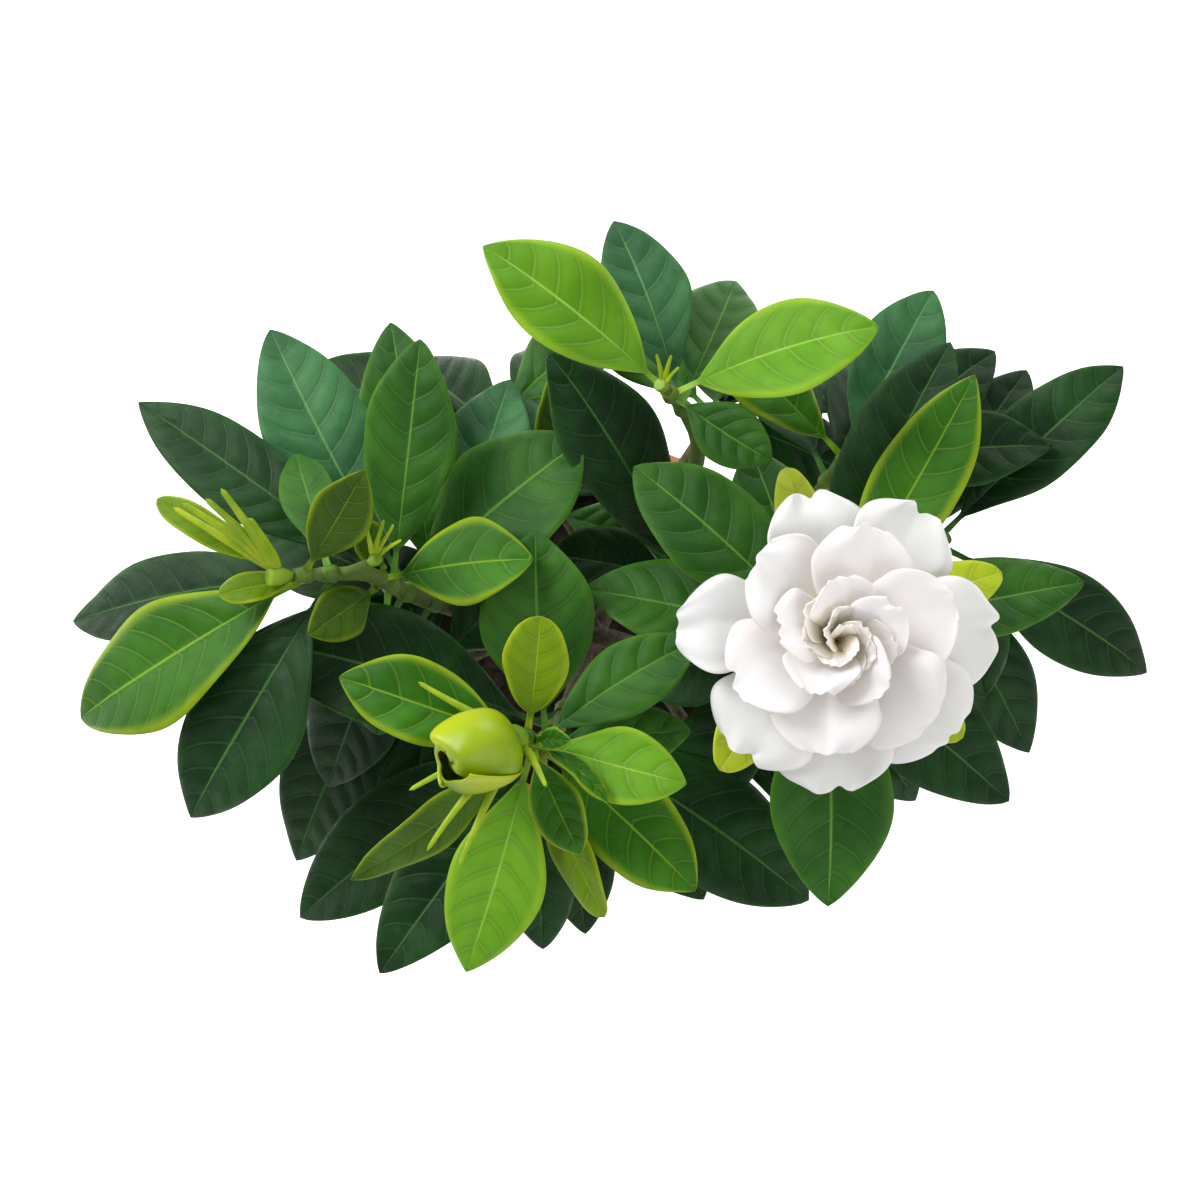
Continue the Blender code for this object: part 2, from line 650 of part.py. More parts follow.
def build_leaves(name, stem, below, leaves, paths, settler):
    """Leaves joined to their sheath, as one piece."""
    place, axis = along(paths[stem], below)
    sheath = parts.objects[name]
    fit = math.cos(math.pi / SHEATH_SIDES)
    root_radius = sheath_radius(stem, below, paths) * fit + SHEATH_WALL * 0.55

    def make_rows(row):
        return blade_rows(LEAF_STATIONS, leaf_half, row, STALK_WIDTH, LEAF_FOLD)

    def make_frame(row):
        frame = blade_frame(row, UP, Vector((1, 0, 0)), place)
        line = frame.col[0].xyz
        outward = (line - line.dot(axis) * axis).normalized()
        frame.translation = place + outward * root_radius
        return frame

    for index, row in enumerate(leaves):
        label = "%s_blade_%d" % (name, index + 1)
        spread = LEAF_THICKNESS / 2 + SETTLE_CLEARANCE
        rows, frame = settler.settle(label, row, name, spread, make_rows, make_frame)
        blade = add_guide(label, blade_mesh(label, rows), metres(frame))
        thicken(blade, LEAF_THICKNESS)
        boolean(sheath, blade, "UNION")


def hub_place(tip, stem_axis, axis, radius):
    """Foot of a tilted hub whose lowest edge clears the stem's end by the gap."""
    tilt = axis.angle(stem_axis)
    return tip + stem_axis * (GAP + radius * HUB_FOOT * math.sin(tilt))


def add_hub(name, radius, length, axis, place):
    """A small solid cup at the end of a stem."""
    foot = radius * HUB_FOOT
    profile = [(0.0, length), (radius, length), (radius, length * HUB_WAIST), (foot, 0.0), (0.0, 0.0)]
    return add_turned(name, profile, HUB_STEPS, "bud_green", frame_along(axis, place))


def add_lobes(hub, lobes, foot, axis, length, radius):
    """Narrow lobes that stand on the hub's side, joined to it."""
    centre = foot + axis * length * LOBE_HEIGHT
    for index, row in enumerate(lobes):
        label = "%s_lobe_%d" % (hub.name, index + 1)
        frame = blade_frame(row, UP, Vector((1, 0, 0)), centre)
        line = frame.col[0].xyz
        outward = (line - line.dot(axis) * axis).normalized()
        frame.translation = centre + outward * (radius - LOBE_SINK)
        rows = blade_rows(LOBE_STATIONS, leaf_half, row, LOBE_ROOT, LOBE_FOLD)
        lobe = add_guide(label, blade_mesh(label, rows), metres(frame))
        thicken(lobe, LEAF_THICKNESS)
        boolean(hub, lobe, "UNION")


def egg_mesh(name, radius, length, segments, rings, twist):
    """A pointed egg standing on the origin, its blunt end down."""
    mesh = bpy.data.meshes.new(name)
    shape = bmesh.new()
    bmesh.ops.create_uvsphere(shape, u_segments=segments, v_segments=rings, radius=1.0)
    for vertex in shape.verts:
        height = (vertex.co.z + 1.0) / 2.0
        angle = math.atan2(vertex.co.y, vertex.co.x) + twist * height
        flat = math.hypot(vertex.co.x, vertex.co.y)
        girth = radius * flat * (1.0 - BUD_TAPER * height ** 2)
        vertex.co = Vector((girth * math.cos(angle), girth * math.sin(angle), length * height)) * MM
    shape.to_mesh(mesh)
    shape.free()
    return mesh


def build_flower(paths, settler):
    tip, stem_axis = along(paths["flower"], 0.0)
    calyx_foot = hub_place(tip, stem_axis, FLOWER_AXIS, CALYX_RADIUS)
    hub = add_hub("flower_calyx", CALYX_RADIUS, CALYX_LENGTH, FLOWER_AXIS, calyx_foot)
    add_lobes(hub, FLOWER_LOBES, calyx_foot, FLOWER_AXIS, CALYX_LENGTH, CALYX_RADIUS)
    settler.add(placed_tree(hub), "flower_calyx")

    tube_foot = calyx_foot + FLOWER_AXIS * (CALYX_LENGTH + GAP)
    profile = [(0.0, TUBE_LENGTH + 3 * SEAT_RISE)]
    for level in (3, 2, 1, 0):
        height = TUBE_LENGTH + level * SEAT_RISE
        profile.append((SEAT_RADII[level], height))
        if level:
            profile.append((SEAT_RADII[level], height - SEAT_RISE))
    profile.append((SEAT_RADII[0], TUBE_LENGTH - 1.2))
    profile.append((TUBE_FOOT_RADIUS, TUBE_LENGTH * 0.55))
    profile.append((TUBE_FOOT_RADIUS, 0.0))
    profile.append((0.0, 0.0))
    tube = add_turned("flower_tube", profile, TUBE_STEPS, "petal", frame_along(FLOWER_AXIS, tube_foot))
    tree = placed_tree(tube)
    settler.add(tree, "flower_tube")

    heart_foot = tube_foot + FLOWER_AXIS * (TUBE_LENGTH + 3 * SEAT_RISE + GAP)
    heart = egg_mesh("flower_heart", HEART_RADIUS, HEART_LENGTH, *HEART_GRID)
    heart = add_part("flower_heart", heart, "flower_heart", frame_along(FLOWER_AXIS, heart_foot))
    settler.add(placed_tree(heart), "flower_heart")

    sideways = (Vector((1, 0, 0)) - FLOWER_AXIS.x * FLOWER_AXIS).normalized()
    for level in (2, 1, 0):
        ring_name, petals = PETAL_RINGS[level]
        outer, inner = SEAT_RADII[level:level + 2]
        height = TUBE_LENGTH + level * SEAT_RISE + GAP + PETAL_THICKNESS / 2
        for index, row in enumerate(petals):
            build_petal("%s_%d" % (ring_name, index + 1), row, level, tube_foot + FLOWER_AXIS * height,
                        (outer + inner) / 2, sideways, settler)


def build_petal(name, row, level, centre, seat, sideways, settler):
    """One petal, rooted on its own step of the flower tube."""

    def make_rows(trial):
        return blade_rows(PETAL_STATIONS, petal_half, trial, PETAL_ROOTS[level], trial[6])

    def make_frame(trial):
        frame = blade_frame(trial, FLOWER_AXIS, sideways, centre)
        flat = Matrix.Rotation(math.radians(trial[0]), 3, FLOWER_AXIS) @ sideways
        lift = ROLL_LIFT * abs(math.sin(math.radians(trial[5])))
        frame.translation = centre + flat * seat + FLOWER_AXIS * lift
        return frame

    spread = PETAL_THICKNESS / 2 + PETAL_CLEARANCE
    rows, frame = settler.settle(name, row, name, spread, make_rows, make_frame)
    petal = add_part(name, blade_mesh(name, rows), "petal", metres(frame))
    thicken(petal, PETAL_THICKNESS)


def build_front_bud(paths, settler):
    """The fat spiral bud on the front shoot, on a lobed cup."""
    tip, stem_axis = along(paths["front"], 0.0)
    foot = hub_place(tip, stem_axis, FRONT_BUD_AXIS, FRONT_CUP_RADIUS)
    hub = add_hub("front_bud_calyx", FRONT_CUP_RADIUS, FRONT_CUP_LENGTH, FRONT_BUD_AXIS, foot)
    add_lobes(hub, FRONT_LOBES, foot, FRONT_BUD_AXIS, FRONT_CUP_LENGTH, FRONT_CUP_RADIUS)
    settler.add(placed_tree(hub), "front_bud_calyx")
    bud_foot = foot + FRONT_BUD_AXIS * (FRONT_CUP_LENGTH + GAP)
    mesh = egg_mesh("front_bud", FRONT_BUD_RADIUS, FRONT_BUD_LENGTH, *FRONT_BUD_GRID)
    bud = add_part("front_bud", mesh, "bud_green", frame_along(FRONT_BUD_AXIS, bud_foot))
    settler.add(placed_tree(bud), "front_bud")


def build_lobed_tip(name, stem, lobes, radius, length, paths, settler):
    """A shoot tip that ends in a tuft of narrow green lobes."""
    tip, axis = along(paths[stem], 0.0)
    hub = add_hub(name, radius, length, axis, tip + axis * GAP)
    add_lobes(hub, lobes, tip + axis * GAP, axis, length, radius)
    settler.add(placed_tree(hub), name)


clear_scene()
parts = make_collection("potted_gardenia")
cutters = make_collection("cutters")
settler = Settler()
stems, paths = build_stems()
build_pot()
build_soil(paths["trunk"])
settler.add(placed_tree(stems), "stems")
build_flower(paths, settler)
build_front_bud(paths, settler)
for tuft, stem, lobes, radius, length in TUFTS:
    build_lobed_tip(tuft, stem, lobes, radius, length, paths, settler)
for whorl, (stem, below, leaves) in WHORLS.items():
    tone = "young_leaf" if whorl in YOUNG_WHORLS else "mature_leaf"
    build_sheath(whorl, stem, below, tone, paths, settler)
for whorl, (stem, below, leaves) in WHORLS.items():
    build_leaves(whorl, stem, below, leaves, paths, settler)
for item in parts.objects:
    item.data.shade_smooth()
    item.data.set_sharp_from_angle(angle=math.radians(SHARP_ANGLE))
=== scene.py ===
"""Looks of the potted gardenia: fine leaves, petals, buds, stems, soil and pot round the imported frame."""
import itertools
import math
import random

import bmesh
import bpy
from mathutils import Matrix, Vector, noise
from mathutils.kdtree import KDTree


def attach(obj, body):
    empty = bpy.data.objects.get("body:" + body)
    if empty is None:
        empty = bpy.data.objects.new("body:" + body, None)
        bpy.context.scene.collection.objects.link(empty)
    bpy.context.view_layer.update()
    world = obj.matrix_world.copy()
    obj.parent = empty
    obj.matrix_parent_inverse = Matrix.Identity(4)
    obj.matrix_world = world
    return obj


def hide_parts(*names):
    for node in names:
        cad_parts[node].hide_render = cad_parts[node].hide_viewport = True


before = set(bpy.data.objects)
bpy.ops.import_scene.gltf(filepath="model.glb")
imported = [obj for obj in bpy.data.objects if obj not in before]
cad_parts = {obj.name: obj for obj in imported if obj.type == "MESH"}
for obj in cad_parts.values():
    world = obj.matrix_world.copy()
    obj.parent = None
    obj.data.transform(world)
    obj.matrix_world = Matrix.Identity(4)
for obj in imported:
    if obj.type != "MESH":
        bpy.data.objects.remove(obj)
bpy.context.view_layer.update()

MM = 0.001
UP = Vector((0.0, 0.0, 1.0))

# ---------------------------------------------------------------- the plan that the CAD follows
# Stems: name, points along the axis (mm), radius at the foot, radius at the tip.
STEMS = (
    ("trunk", ((0, 0, 98), (-1, -4, 125), (-4, -12, 155), (-5, -20, 188)), 6.4, 5.0),
    ("left", ((-5, -19, 182), (-30, -25, 206), (-54, -28, 228), (-67, -30, 247), (-75, -33, 267),
              (-84, -36, 275), (-97, -40, 283)), 3.9, 1.9),
    ("mid_bud", ((-83, -35.5, 274), (-78, -36.5, 280), (-73, -37, 286)), 1.8, 1.5),
    ("front", ((-5, -20, 183), (-7, -42, 198), (-14, -69, 221), (-20, -85, 248), (-23, -92, 279)),
     3.7, 2.0),
    ("back", ((-3, -11, 150), (7, -6, 190), (25, 4, 228), (33, 14, 260), (28, 18, 283), (21, 17, 300)),
     3.8, 2.0),
    ("flower", ((-5, -20, 181), (18, -35, 203), (44, -41, 218), (64, -42, 235), (71, -50, 256),
                (70, -59, 277)), 4.0, 2.3),
    ("inner", ((13, -32, 199), (25, -25, 218), (32, -21, 238)), 2.4, 1.9),
    ("right", ((14, -32, 199), (50, -20, 207), (85, -14, 216), (105, -11, 228), (119, -9, 243)),
     3.2, 2.0),
    ("rear_right", ((48, -20.6, 206.5), (63, 0, 218), (77, 13, 234), (86, 20, 252)), 2.6, 2.0),
    ("centre", ((-30, -25, 206), (-25, -9, 214), (-20, 1, 226), (-19, 5, 240)), 2.5, 1.9),
    ("left_front", ((-24, -24, 201), (-42, -38, 208), (-58, -50, 222)), 2.5, 1.9),
    ("rear_left", ((4, -7, 186), (-14, 18, 206), (-40, 42, 236)), 2.7, 2.0),
    ("rear_mid", ((4, -7, 182), (20, 22, 199), (44, 50, 226)), 2.7, 2.0),
    ("front_right", ((10, -30, 197), (26, -56, 202), (38, -80, 215)), 2.4, 1.9),
)
STEM_SAMPLES = 2

# Whorls: stem, distance below its tip, then the leaves as compass, rise, length, width, arch,
# roll and tone.
WHORLS = {
    "left_leaves_1": ("left", 4, (
        (202, -27, 95, 40, 0.07, 0, "fresh"), (42, 48, 42, 19, 0.05, 30, "olive"),
        (196, 10, 26, 11, 0.08, 0, "lime"),
    )),
    "left_leaves_2": ("left", 13, (
        (180, -21, 100, 30, 0.07, 0, "dark"), (108, -8, 46, 18, 0.06, 0, "mid"),
        (235, -22, 90, 40, 0.07, 0, "dark"),
    )),
    "left_leaves_3": ("left", 35, (
        (0, 18, 50, 30, 0.05, 0, "fresh"), (150, 75, 30, 13, 0.05, 0, "olive"),
        (230, 28, 32, 18, 0.08, -30, "olive"),
    )),
    "left_leaves_4": ("left", 43, (
        (81, 33, 78, 30, 0.04, 0, "mid"), (145, 8, 103, 29, 0.06, 0, "dark"),
        (264, -32, 48, 28, 0.07, 0, "mid"),
    )),
    "left_leaves_5": ("left", 53, (
        (35, 22, 75, 44, 0.07, 0, "mid"), (119, 19, 99, 37, 0.05, 0, "blue"),
        (243, -32, 72, 34, 0.07, 0, "dark"),
    )),
    "left_leaves_6": ("left", 68, (
        (100, 20, 94, 33, 0.06, 0, "mid"), (72, 12, 80, 34, 0.05, 0, "blue"),
        (236, -15, 105, 38, 0.07, 0, "dark"), (150, -14, 72, 38, 0.07, 0, "dark"),
    )),
    "front_leaves_1": ("front", 3, (
        (81, 46, 38, 20, 0.05, 0, "lime"), (340, 45, 16, 7, 0.10, 20, "fresh"),
        (319, 6, 30, 9, 0.10, -40, "fresh"),
    )),
    "front_leaves_2": ("front", 11, (
        (165, 15, 59, 27, 0.06, 0, "fresh"), (342, 10, 48, 25, 0.05, 0, "bright"),
        (295, -10, 35, 18, 0.06, 25, "fresh"),
    )),
    "front_leaves_3": ("front", 21, (
        (252, -24, 73, 31, 0.07, 0, "bright"), (31, 10, 58, 24, 0.05, 0, "mid"),
        (219, 3, 68, 17, 0.06, -45, "olive"),
    )),
    "front_leaves_4": ("front", 32, (
        (317, -4, 65, 30, 0.06, 0, "fresh"), (4, 6, 46, 21, 0.06, 0, "mid"),
        (291, -2, 56, 16, 0.06, 50, "lime"),
    )),
    "front_leaves_5": ("front", 44, (
        (93, 36, 66, 38, 0.05, 0, "mid"), (233, -15, 90, 32, 0.07, 0, "dark"),
        (269, -25, 66, 26, 0.07, 0, "dark"),
    )),
    "front_leaves_6": ("front", 58, (
        (169, 10, 103, 42, 0.07, 0, "dark"), (328, -12, 99, 41, 0.07, 0, "dark"),
        (214, -14, 104, 37, 0.07, 0, "dark"),
    )),
    "front_leaves_7": ("front", 74, (
        (275, -17, 73, 28, 0.07, 0, "dark"), (201, 0, 86, 36, 0.06, 0, "dark"),
        (307, -19, 76, 32, 0.07, 0, "dark"),
    )),
    "back_leaves_1": ("back", 4, (
        (148, 23, 73, 34, 0.07, 0, "bright"), (9, 22, 66, 34, 0.07, 0, "bright"),
        (325, -5, 36, 20, 0.08, 30, "mid"),
    )),
    "back_leaves_2": ("back", 15, (
        (110, 13, 64, 28, 0.06, 0, "blue"), (70, -14, 58, 28, 0.07, 0, "mid"),
    )),
    "flower_leaves_1": ("flower", 4, (
        (233, 3, 52, 20, 0.05, 0, "pale"), (20, 3, 58, 20, 0.05, 0, "pale"),
        (323, -2, 50, 19, 0.05, 0, "pale"), (98, -2, 58, 16, 0.05, 0, "pale"),
    )),
    "flower_leaves_2": ("flower", 13, (
        (138, 10, 78, 35, 0.06, 0, "mid"), (58, 14, 96, 29, 0.05, 0, "fresh"),
        (271, -16, 82, 39, 0.06, 0, "mid"),
    )),
    "flower_leaves_3": ("flower", 25, (
        (64, 12, 106, 32, 0.06, 0, "dark"), (169, 3, 74, 31, 0.06, 0, "mid"),
        (10, 5, 86, 28, 0.06, 0, "mid"),
    )),
    "flower_leaves_4": ("flower", 38, (
        (322, -9, 84, 35, 0.07, 0, "dark"), (195, -10, 55, 28, 0.07, 0, "dark"),
        (105, 12, 62, 30, 0.07, 0, "mid"),
    )),
    "flower_leaves_5": ("flower", 54, (
        (317, -22, 72, 31, 0.07, 0, "dark"), (240, -18, 62, 30, 0.07, 0, "dark"),
        (40, -8, 70, 32, 0.07, 0, "dark"),
    )),
    "inner_leaves": ("inner", 4, (
        (128, 36, 90, 36, 0.06, 0, "dark"), (110, 50, 46, 17, 0.05, 0, "mid"),
        (172, 8, 46, 26, 0.07, 0, "dark"),
    )),
    "right_leaves_1": ("right", 4, (
        (41, 15, 86, 30, 0.06, 0, "dark"), (331, -12, 82, 33, 0.07, 0, "dark"),
        (285, -14, 52, 26, 0.07, 0, "dark"),
    )),
    "right_leaves_2": ("right", 17, (
        (56, 9, 80, 29, 0.06, 0, "dark"), (304, -20, 77, 31, 0.07, 0, "dark"),
        (98, 0, 62, 28, 0.08, 0, "dark"),
    )),
    "rear_right_leaves_1": ("rear_right", 4, (
        (59, 25, 62, 30, 0.06, 0, "blue"), (140, 17, 62, 26, 0.06, 0, "fresh"),
        (359, 6, 67, 27, 0.06, 0, "dark"),
    )),
    "rear_right_leaves_2": ("rear_right", 16, (
        (38, 0, 75, 28, 0.07, 0, "dark"), (68, -16, 75, 32, 0.08, 0, "dark"),
        (110, -20, 78, 32, 0.08, 0, "dark"),
    )),
    "centre_leaves": ("centre", 4, (
        (340, 12, 42, 24, 0.07, 0, "mid"), (108, 22, 46, 25, 0.05, 0, "blue"),
        (84, 34, 48, 15, 0.05, 35, "olive"), (40, 0, 50, 24, 0.07, 0, "dark"),
        (165, -8, 50, 26, 0.07, 0, "dark"),
    )),
    "left_front_leaves": ("left_front", 4, (
        (214, -17, 66, 33, 0.07, 0, "dark"), (245, -22, 82, 34, 0.07, 0, "dark"),
        (283, -26, 62, 30, 0.08, 0, "dark"), (116, -8, 52, 34, 0.07, 0, "dark"),
        (58, -5, 50, 34, 0.07, 0, "dark"),
    )),
    "rear_left_leaves_1": ("rear_left", 4, (
        (165, -4, 74, 33, 0.09, 0, "dark"),
        (225, 6, 60, 28, 0.08, 0, "dark"), (40, 4, 58, 28, 0.08, 0, "mid"),
    )),
    "rear_left_leaves_2": ("rear_left", 17, (
        (130, -26, 76, 34, 0.09, 0, "dark"), (75, -28, 70, 32, 0.09, 0, "dark"),
        (190, -26, 74, 32, 0.09, 0, "dark"),
    )),
    "rear_mid_leaves": ("rear_mid", 4, (
        (85, -34, 56, 32, 0.09, 0, "mid"), (30, -10, 72, 33, 0.09, 0, "dark"),
        (135, 0, 62, 30, 0.08, 0, "mid"), (345, -24, 60, 30, 0.08, 0, "dark"),
        (62, -36, 62, 30, 0.09, 0, "dark"),
    )),
    "front_right_leaves": ("front_right", 4, (
        (290, -22, 48, 26, 0.08, 0, "dark"), (350, -18, 64, 30, 0.08, 0, "dark"),
        (235, -20, 50, 26, 0.08, 0, "dark"),
    )),
}
TRIALS = sorted(itertools.product(range(-28, 29, 7), range(-36, 37, 3), range(-30, 31, 10)),
                key=lambda trial: 1.2 * abs(trial[0]) + abs(trial[1]) + 0.5 * abs(trial[2]))

STALK = 0.10
STALK_WIDTH = 2.4
WIDEST = 1.12
LEAF_FOLD = 0.20
SHEATH_FIT = 0.7
SHEATH_WALL = 1.1
SHEATH_HEIGHT = 4.0
LEAF_STATIONS = (0.0, 0.12, 0.40, 0.72, 1.0)
PETAL_STATIONS = (0.0, 0.16, 0.42, 0.70, 0.90, 1.0)

FLOWER_AXIS = Vector((0.03, -0.36, 0.93)).normalized()
CALYX_LENGTH = 9.0
CALYX_RADIUS = 4.2
TUBE_LENGTH = 10.0
SEAT_RADII = (9.4, 6.9, 4.6, 2.6)
SEAT_RISE = 1.9
PETAL_THICKNESS = 0.8
GAP = 0.35
HUB_FOOT = 0.45
LOBE_HEIGHT = 0.7
LOBE_SINK = 0.6
OUTER_PETALS = (
    (101, 8, 37, 30, 0.06, 10, 0.10), (55, 8, 40, 32, 0.06, 10, 0.10), (4, 8, 42, 33, 0.06, 10, 0.10),
    (-42, 8, 39, 35, 0.06, 10, 0.10), (-88, 8, 38, 34, 0.06, 10, 0.10),
    (-131, 8, 37, 33, 0.06, 10, 0.10), (171, 10, 40, 28, 0.05, 10, 0.16),
)
MIDDLE_PETALS = (
    (75, 30, 32, 30, 0.10, 16, 0.14), (18, 30, 33, 31, 0.10, 16, 0.14),
    (-42, 30, 33, 32, 0.10, 16, 0.14), (-100, 30, 32, 31, 0.10, 16, 0.14),
    (-158, 30, 32, 31, 0.10, 16, 0.14), (138, 30, 32, 30, 0.10, 16, 0.14),
)
INNER_PETALS = (
    (95, 56, 24, 21, 0.12, 16, 0.20), (23, 56, 24, 21, 0.12, 16, 0.20),
    (-49, 56, 24, 21, 0.12, 16, 0.20), (-121, 56, 24, 21, 0.12, 16, 0.20),
    (167, 56, 24, 21, 0.12, 16, 0.20),
)
PETAL_ROOTS = (6.2, 4.9, 3.5)
HEART_RADIUS = 3.6
HEART_LENGTH = 17.0

FRONT_BUD_AXIS = Vector((-0.64, -0.46, 0.61)).normalized()
FRONT_BUD_LENGTH = 28.0
FRONT_BUD_RADIUS = 12.2
FRONT_CUP_LENGTH = 7.0
FRONT_CUP_RADIUS = 5.0
FRONT_LOBES = (
    (158, 12, 30, 4, 0.08, 0), (203, -6, 32, 4, 0.06, 0), (226, -8, 39, 4, 0.06, 0),
    (243, -8, 38, 4, 0.06, 0), (300, 30, 20, 4, 0.10, 0),
)
FLOWER_LOBES = tuple((turned, 20, 20, 4, 0.10, 0) for turned in range(0, 360, 60))
LEFT_LOBES = (
    (141, 45, 34, 5, 0.08, 0), (152, 35, 36, 5, 0.08, 0), (160, 25, 36, 5, 0.08, 0),
    (133, 54, 34, 5, 0.08, 0), (118, 50, 20, 7, 0.08, 0), (152, 16, 42, 11, 0.08, 0),
)
MID_LOBES = (
    (62, 48, 14, 2.6, 0.08, 0), (38, 44, 14, 2.6, 0.08, 0), (20, 38, 12, 2.6, 0.08, 0),
    (100, 50, 10, 2.6, 0.08, 0),
)
BACK_LOBES = (
    (115, 60, 11, 2.6, 0.08, 0), (70, 66, 12, 2.6, 0.08, 0), (20, 60, 9, 2.6, 0.08, 0),
)

# ---------------------------------------------------------------- finish of each tone
# Tone: blade colour, patch colour (lighter patches, partly the leaf's own uneven tone and partly painted sheen), margin
# colour, vein colour, share of margin colour, roughness.
TONES = {
    "dark": ((0.003, 0.026, 0.004), (0.012, 0.062, 0.010), (0.020, 0.085, 0.010), (0.055, 0.16, 0.030), 0.4, 0.32),
    "mid": ((0.016, 0.088, 0.006), (0.040, 0.150, 0.012), (0.065, 0.200, 0.010), (0.120, 0.29, 0.035), 0.5, 0.34),
    # The bluish tone below is partly the leaf's own green and partly painted sheen.
    "blue": ((0.022, 0.105, 0.034), (0.055, 0.190, 0.062), (0.045, 0.170, 0.040), (0.110, 0.28, 0.080), 0.4, 0.32),
    "olive": ((0.036, 0.095, 0.002), (0.064, 0.150, 0.003), (0.220, 0.310, 0.004), (0.160, 0.27, 0.014), 0.8, 0.38),
    "fresh": ((0.024, 0.125, 0.002), (0.048, 0.200, 0.004), (0.280, 0.400, 0.006), (0.200, 0.38, 0.018), 0.9, 0.34),
    "bright": ((0.100, 0.290, 0.004), (0.150, 0.370, 0.014), (0.280, 0.470, 0.016), (0.300, 0.50, 0.060), 0.9, 0.34),
    "lime": ((0.120, 0.240, 0.001), (0.195, 0.320, 0.002), (0.360, 0.450, 0.005), (0.330, 0.43, 0.020), 0.8, 0.40),
    "pale": ((0.350, 0.450, 0.008), (0.450, 0.540, 0.020), (0.520, 0.600, 0.045), (0.540, 0.62, 0.100), 0.7, 0.42),
}
YOUNG_TONES = ("fresh", "bright", "lime", "olive", "pale")


class Shade:
    """A procedural Principled material, built step by step."""

    def __init__(self, name):
        self.material = bpy.data.materials.new(name)
        self.material.use_nodes = True
        self.tree = self.material.node_tree
        self.shader = self.tree.nodes["Principled BSDF"]

    def feed(self, socket, value):
        if isinstance(value, bpy.types.NodeSocket):
            self.tree.links.new(value, socket)
        elif isinstance(value, (tuple, list)) and len(value) == 3 and socket.type == "RGBA":
            socket.default_value = (*value, 1.0)
        else:
            socket.default_value = value

    def node(self, kind, inputs=(), **settings):
        made = self.tree.nodes.new("ShaderNode" + kind)
        for key, value in settings.items():
            setattr(made, key, value)
        for key, value in dict(inputs).items():
            self.feed(made.inputs[key], value)
        return made

    def math(self, operation, first, second=0.5, clamp=False):
        made = self.node("Math", {0: first, 1: second}, operation=operation, use_clamp=clamp)
        return made.outputs[0]

    def mix(self, factor, first, second):
        made = self.node("Mix", data_type="RGBA")
        self.feed(made.inputs[0], factor)
        self.feed(made.inputs[6], first)
        self.feed(made.inputs[7], second)
        return made.outputs[2]

    def step(self, value, low, high):
        """0 below low, 1 above high, smooth between."""
        made = self.node("MapRange", {"Value": value, "From Min": low, "From Max": high},
                         interpolation_type="SMOOTHSTEP")
        return made.outputs[0]

    def noise(self, scale, detail=3.0, roughness=0.5, vector=None):
        inputs = {"Scale": scale, "Detail": detail, "Roughness": roughness}
        inputs["Vector"] = vector or self.node("TexCoord").outputs["Object"]
        return self.node("TexNoise", inputs).outputs[0]

    def bump(self, height, strength, distance):
        made = self.node("Bump", {"Height": height, "Strength": strength, "Distance": distance})
        return made.outputs[0]

    def finish(self, colour, roughness, normal=None, **constants):
        self.feed(self.shader.inputs["Base Color"], colour)
        self.feed(self.shader.inputs["Roughness"], roughness)
        if normal is not None:
            self.feed(self.shader.inputs["Normal"], normal)
        for key, value in constants.items():
            self.shader.inputs[key.replace("_", " ")].default_value = value
        return self.material


def blade_values(shade):
    """Along, across, vein and midrib masks of a leaf, from its two UV maps."""
    blade = shade.node("SeparateXYZ", {0: shade.node("UVMap", uv_map="blade").outputs[0]})
    veins = shade.node("SeparateXYZ", {0: shade.node("UVMap", uv_map="veins").outputs[0]})
    along = blade.outputs[0]
    across = veins.outputs[1]
    phase = shade.math("MULTIPLY", veins.outputs[0], VEIN_SPAN)
    saw = shade.math("ABSOLUTE", shade.math("SUBTRACT", shade.math("FRACT", phase), 0.5))
    ridge = shade.step(saw, 0.435, 0.49)
    fade = shade.math("SUBTRACT", 1.0, shade.step(across, 0.72, 0.97))
    vein = shade.math("MULTIPLY", ridge, fade)
    midrib = shade.math("SUBTRACT", 1.0, shade.step(across, 0.010, 0.038))
    return along, across, vein, midrib, saw


